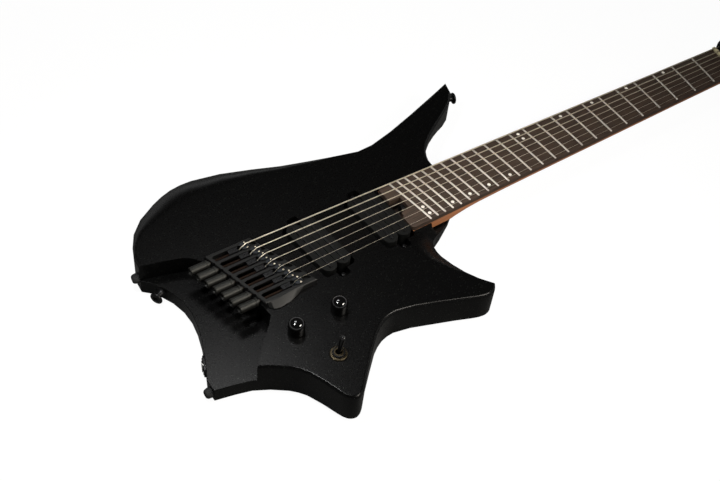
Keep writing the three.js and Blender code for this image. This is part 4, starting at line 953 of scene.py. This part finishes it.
class GUITAR_OT_strings(bpy.types.Operator):
    """Adds the seven strings and the lock that holds them at the head"""
    bl_idname = "guitar.strings"
    bl_label = "Strings"

    def execute(self, context):
        for number in STRINGS:
            gauge = GAUGES[number - 1]
            x, y, _ = break_of(number)
            nut_y = NUT_SPREAD * share_of(number)
            nut_x = nut_line(nut_y) + NUT_MIDDLE
            nut_z = SLOT_FLOOR + gauge / 2 - crown_drop(nut_y)
            lock_y = nut_y + (nut_y - y) * (LOCK_PLACE - nut_x) / (nut_x - x)
            path = bend_path(number) + [(nut_x, nut_y, nut_z), (LOCK_PLACE, lock_y, nut_z - LOCK_DROP)]
            wound = number >= WOUND_FROM
            settle(swept([path], gauge, 12), f"string_wire_{number}", f"string_carriage_{number}",
                   "wound_nickel" if wound else "drawn_wire", "string_steel", f"string_{number}")

        low, high = box_of("string_lock")
        settle(fine_copy("string_lock"), "string_lock_block", ROOT, "blackened_steel", "black_metal",
               "string_lock")
        screw = turned([(5.0, -1.2), (5.0, 0.6), (4.4, 1.0)], 24)
        hex_socket(screw, 2.5, -0.8, 1.2)
        placed = [moved(another(screw), (low.x + high.x) / 2, LOCK_SPREAD * share_of(number), high.z - 0.7)
                  for number in STRINGS]
        discard(screw)
        settle(joined(*placed), "string_lock_screws", ROOT, "turned_steel", "steel")
        return {"FINISHED"}


class GUITAR_OT_bridge(bpy.types.Operator):
    """Adds the bridge chassis, and a saddle with its set screws and a carriage for every string"""
    bl_idname = "guitar.bridge"
    bl_label = "Bridge"

    def execute(self, context):
        plate = copy_of("bridge_chassis")
        for number in STRINGS:
            # Behind the saddles each channel's top is milled wider, which leaves thin ribs.
            x, y, _ = break_of(number)
            face = box_of(f"tuner_{number}")[0].x + BARREL_LENGTH
            cut(plate, block((face + MILLED_ENDS[0], y - MILLED_REACH, CHANNEL_FLOOR),
                             (x - MILLED_ENDS[1], y + MILLED_REACH, MILLED_TOP)))
        settle(soften(plate, 0.3 * MM, 2, 30), "bridge_plate", ROOT, "blasted_aluminium", "chassis_metal",
               "bridge_chassis")
        screw = turned([(1.9, -1.2), (1.9, 0.2), (1.7, 0.45), (1.1, 0.6)], 18)
        hex_socket(screw, 0.7, 0.1, 0.8)
        shoulder = self.shoulder()
        lock = turned([(3.2, -1.0), (3.2, 0.15), (2.8, 0.35)], 20)
        hex_socket(lock, 1.5, -0.5, 0.6)
        for number in STRINGS:
            x, y, _ = break_of(number)
            slide, carriage = f"saddle_slide_{number}", f"string_carriage_{number}"
            saddle = copy_of(f"saddle_{number}")
            cut(saddle, moved(another(shoulder), x, y, 0), operation="UNION")
            # Above the shoulders a narrow fin carries the string in a groove that follows its bend.
            cut(saddle, *(block((x - 7, y + side * (FIN_REACH + 2) - 2, SHOULDER[1]),
                                (x + 4.5, y + side * (FIN_REACH + 2) + 2, 54)) for side in (-1, 1)))
            # The groove is cut again at the places that the string takes as its carriage travels.
            for shift in GROOVE_SHIFTS:
                path = [(px + shift, py, pz) for px, py, pz in bend_path(number)]
                cut(saddle, swept([path], GAUGES[number - 1] + GROOVE_PLAY, 12))
            settle(soften(saddle, sizes().fine_edge), f"saddle_block_{number}", slide, "milled_zinc",
                   "saddle_metal", f"saddle_{number}")
            pair = [moved(another(screw), x + 0.3, y + side * SCREW_REACH, SHOULDER[1] - 0.1)
                    for side in (-1, 1)]
            settle(joined(*pair), f"saddle_screws_{number}", slide, "plated_screw", "steel")
            low, high = box_of(f"carriage_{number}")
            settle(fine_copy(f"carriage_{number}"), f"carriage_block_{number}", carriage, "blackened_steel",
                   "saddle_metal", f"carriage_{number}")
            settle(moved(another(lock), low.x + 5.5, y, high.z), f"carriage_screw_{number}", carriage,
                   "blackened_steel", "black_metal")
        discard(screw, lock, shoulder)
        return {"FINISHED"}

    def shoulder(self):
        """A saddle's shoulders over its channel's walls, round at the tail, with a slot for the string."""
        plate = block((-5.8, -SHOULDER_REACH, SHOULDER[0]), (1.7, SHOULDER_REACH, SHOULDER[1]))
        edit(plate, False)
        bpy.ops.mesh.select_mode(type="EDGE")
        leave()
        for line in plate.data.edges:
            a, b = (plate.data.vertices[i].co for i in line.vertices)
            line.select = max(a.x, b.x) < -5 * MM and abs(a.z - b.z) > 1 * MM
        edit_again(plate)
        bpy.ops.mesh.bevel(offset=2.4 * MM, segments=5)
        leave()
        return cut(plate, block((-7, -1.25, 48), (-1.6, 1.25, 51)))


class GUITAR_OT_tuners(bpy.types.Operator):
    """Adds the seven tuners: a knurled barrel and its threaded rod"""
    bl_idname = "guitar.tuners"
    bl_label = "Tuners"

    def execute(self, context):
        wide = sizes().barrel / MM
        profile = [(7.2, -16.6), (7.4, -19.9), (7.8, -BARREL_LENGTH), (wide - 1.2, -BARREL_LENGTH),
                   (wide - 0.2, -19.5), (wide - 0.2, -19.4), (wide - 0.2, -3.9), (wide - 0.2, -3.8),
                   (wide - 1.2, -3.6), (wide - 1.2, -2.5), (wide - 0.1, -2.3), (wide - 0.1, -0.6),
                   (wide - 1.2, 0.0), (5.4, 0.0), (5.4, 1.7), (ROD_CREST, 1.7)]
        thread = []
        place = 2.0
        while place < ROD_REACH:
            thread += [(ROD_CREST, place), (ROD_ROOT, place + THREAD_PITCH / 2)]
            place += THREAD_PITCH
        barrel = turned(profile, sizes().knurl * 2, (5, 6, 0.07))
        rod = turned(thread, 16)
        turn = Matrix.Rotation(math.pi / 2, 4, "Y")
        for number in STRINGS:
            low, high = box_of(f"tuner_{number}")
            y = (low.y + high.y) / 2
            face = low.x + BARREL_LENGTH
            shaft = moved(another(rod), face, y, ROD_AXIS, turn)
            slice_off(shaft, (high.x, 0, 0), (1, 0, 0))
            settle(shaft, f"tuner_rod_{number}", f"tuner_barrel_{number}", "browned_steel", "tuner_metal")
            head = moved(another(barrel), face, y, ROD_AXIS, turn)
            settle(head, f"tuner_knurled_{number}", f"tuner_barrel_{number}", "knurled_aluminium",
                   "tuner_metal", f"tuner_{number}")
        discard(barrel, rod)
        return {"FINISHED"}


class GUITAR_OT_pickups(bpy.types.Operator):
    """Adds the two pickups: frame with blades, two bobbins and two mounting screws each"""
    bl_idname = "guitar.pickups"
    bl_label = "Pickups"

    def execute(self, context):
        screw = turned([(2.6, -8.0), (2.6, 0.0), (5.2, 0.0), (5.2, 0.9), (4.2, 1.6), (2.0, 2.0)], 28)
        cross_slot(screw, 2.0, 0.4, 1.0, 2.5)
        for name, place in PICKUPS.items():
            settle(fine_copy(f"{name}_frame"), f"{name}_chassis", ROOT, "blackened_steel", "pickup_metal",
                   f"{name}_frame")
            for number in (1, 2):
                node = f"{name}_bobbin_{number}"
                settle(soften(copy_of(node), 0.5 * MM, 3), f"{node}_moulded", ROOT, "moulded_abs",
                       "pickup_plastic", node)
            pair = []
            for side in (-1, 1):
                spot = Matrix.Rotation(PICKUP_TURN, 3, "Z") @ Vector((0, side * PICKUP_SCREW_REACH, 0))
                pair.append(moved(another(screw), place + spot.x, spot.y, PICKUP_SEAT))
            settle(joined(*pair), f"{name}_screws", ROOT, "blackened_steel", "black_metal")
        discard(screw)
        return {"FINISHED"}


class GUITAR_OT_controls(bpy.types.Operator):
    """Adds the two domed knobs, and the toggle's ring, nut and lever"""
    bl_idname = "guitar.controls"
    bl_label = "Controls"

    def execute(self, context):
        wide = sizes().knob / MM
        knob = turned([(6.6, 9.5), (6.6, 0.3), (7.2, 0.0), (wide - 0.8, 0.0), (wide - 0.1, 0.3), (wide, 0.9),
                       (wide, 1.7), (wide - 0.2, 6.0), (wide - 0.4, 9.6), (wide - 0.6, 10.8), (16.2, 12.0),
                       (15.2, 13.1), (13.6, 14.2), (11.4, 15.1), (8.6, 15.8), (5.2, 16.25), (1.8, 16.38),
                       (0.4, 16.4)], 64)
        for name, (x, y) in KNOBS.items():
            settle(moved(another(knob), x, y, KNOB_SEAT), f"{name}_dome", f"{name}_knob", "polished_plastic",
                   "gloss_black", f"{name}_knob")
        discard(knob)

        x, y = SWITCH
        bushing = turned_ring([(6.8, 3.6), (6.8, -6.0), (10.0, -6.0), (10.0, 0.0), (17.2, 0.0), (17.7, 0.3),
                               (17.7, 0.7), (16.9, 1.4), (16.0, 1.6), (11.6, 1.6), (11.2, 1.2), (10.0, 1.2),
                               (10.0, 3.3), (9.4, 3.6), (6.8, 3.6)], 56)
        settle(moved(bushing, x, y, BODY_TOP), "switch_ring", ROOT, "aged_brass", "ring_brass",
               "switch_bushing")
        nut = turned_ring([(10.1, 1.65), (12.4, 1.65), (12.8, 1.9), (12.8, 2.9), (12.0, 3.5), (10.3, 3.5),
                           (10.1, 3.3), (10.1, 1.65)], 48)
        settle(moved(nut, x, y, BODY_TOP), "switch_nut", ROOT, "blackened_steel", "black_metal")
        lever = turned([(1.4, -2.1), (3.4, -1.2), (3.7, 0.0), (3.7, 2.8), (4.5, 4.8), (5.0, 8.0), (5.4, 12.0),
                        (5.9, 15.6), (6.1, 17.2), (6.0, 18.2), (5.2, 19.2), (3.7, 19.75), (1.8, 20.0),
                        (0.4, 20.05)], 40)
        turn = Matrix.Rotation(LEVER_HEADING, 4, "Z") @ Matrix.Rotation(LEVER_LEAN, 4, "Y")
        settle(moved(lever, x, y, LEVER_PIVOT, turn), "switch_bat", "switch_lever", "polished_plastic",
               "lever_plastic", "switch_lever")
        return {"FINISHED"}


class GUITAR_OT_edge_pieces(bpy.types.Operator):
    """Adds the output jack and its plate, the strap buttons and the bumpers"""
    bl_idname = "guitar.edge_pieces"
    bl_label = "Jack, buttons and bumpers"

    def execute(self, context):
        place, out = EDGE_PLACES["output_jack"]
        turn = stand_out(out)
        settle(fine_copy("jack_plate"), "jack_plate_oval", ROOT, "blackened_steel", "black_metal",
               "jack_plate")
        jack = turned([(7.0, -27.7), (9.6, -27.7), (9.6, 2.3), (11.0, 2.3), (11.4, 2.7), (11.4, 3.2),
                       (10.9, 3.5), (7.6, 3.5), (7.0, 3.1), (7.0, -27.6)], 40)
        settle(moved(jack, *place, turn), "output_jack_barrel", ROOT, "turned_steel", "steel", "output_jack")
        screws = []
        for side in (-1, 1):
            head = turned([(1.6, 0.9), (1.6, 1.9), (3.2, 2.1), (2.8, 2.6), (1.2, 2.9)], 20)
            cross_slot(head, 1.4, 0.3, 2.4, 3.4)
            spot = Vector(place) + turn.to_3x3() @ Vector((side * JACK_SCREW_REACH, 0, 0))
            screws.append(moved(head, *spot, turn))
        settle(joined(*screws), "jack_plate_screws", ROOT, "turned_steel", "steel")

        button = turned([(4.0, -14.0), (4.0, 0.0), (11.0, 0.0), (11.0, 0.9), (9.6, 1.6), (7.8, 3.2),
                         (7.0, 5.0), (7.0, 8.0), (8.4, 8.7), (12.6, 9.2), (13.8, 9.9), (14.0, 10.6),
                         (13.4, 11.4), (12.0, 11.9), (6.8, 12.0), (5.4, 10.9)], 48)
        cross_slot(button, 2.2, 0.45, 10.0, 11.6)
        foot = turned([(4.0, -8.0), (4.0, 0.0), (10.6, 0.0), (11.0, 0.5), (10.9, 2.5), (10.4, 4.6),
                       (9.4, 6.2), (7.8, 7.2), (5.2, 7.5)], 40)
        self.stand(button, "blackened_steel", "black_metal", "strap_button_tail", "strap_button_horn")
        self.stand(foot, "moulded_rubber", "bumper", "foot_bass", "foot_treble")
        return {"FINISHED"}

    def stand(self, source, finish, slot, *names):
        """Stands a copy of a turned piece out of the body's edge at each of its places."""
        for name in names:
            place, out = EDGE_PLACES[name]
            spot = Vector(place) - 0.5 * Vector(out)
            settle(moved(another(source), *spot, stand_out(out)), f"{name}_turned", ROOT, finish, slot, name)
        discard(source)


OPERATORS = (GUITAR_OT_finishes, GUITAR_OT_stage, GUITAR_OT_body, GUITAR_OT_neck, GUITAR_OT_board,
             GUITAR_OT_strings, GUITAR_OT_bridge, GUITAR_OT_tuners, GUITAR_OT_pickups, GUITAR_OT_controls,
             GUITAR_OT_edge_pieces)


class GUITAR_PT_panel(bpy.types.Panel):
    """Lists the guitar's pieces in the order that they are made."""
    bl_idname = "GUITAR_PT_panel"
    bl_label = "Headless guitar"
    bl_space_type = "VIEW_3D"
    bl_region_type = "UI"
    bl_category = "Guitar"

    def draw(self, context):
        for each in OPERATORS:
            self.layout.operator(each.bl_idname)
        for group in (context.scene.guitar_sizes, context.scene.guitar_colours):
            box = self.layout.box()
            for name in group.bl_rna.properties.keys():
                if name not in ("rna_type", "name"):
                    box.prop(group, name)


CLASSES = (GuitarColours, GuitarSizes, *OPERATORS, GUITAR_PT_panel)


def register():
    for each in CLASSES:
        bpy.utils.register_class(each)
    bpy.types.Scene.guitar_colours = PointerProperty(type=GuitarColours)
    bpy.types.Scene.guitar_sizes = PointerProperty(type=GuitarSizes)


def unregister():
    del bpy.types.Scene.guitar_colours
    del bpy.types.Scene.guitar_sizes
    for each in reversed(CLASSES):
        bpy.utils.unregister_class(each)


def main():
    register()
    for each in OPERATORS:
        group, name = each.bl_idname.split(".")
        getattr(getattr(bpy.ops, group), name)()


if __name__ == "__main__":
    main()
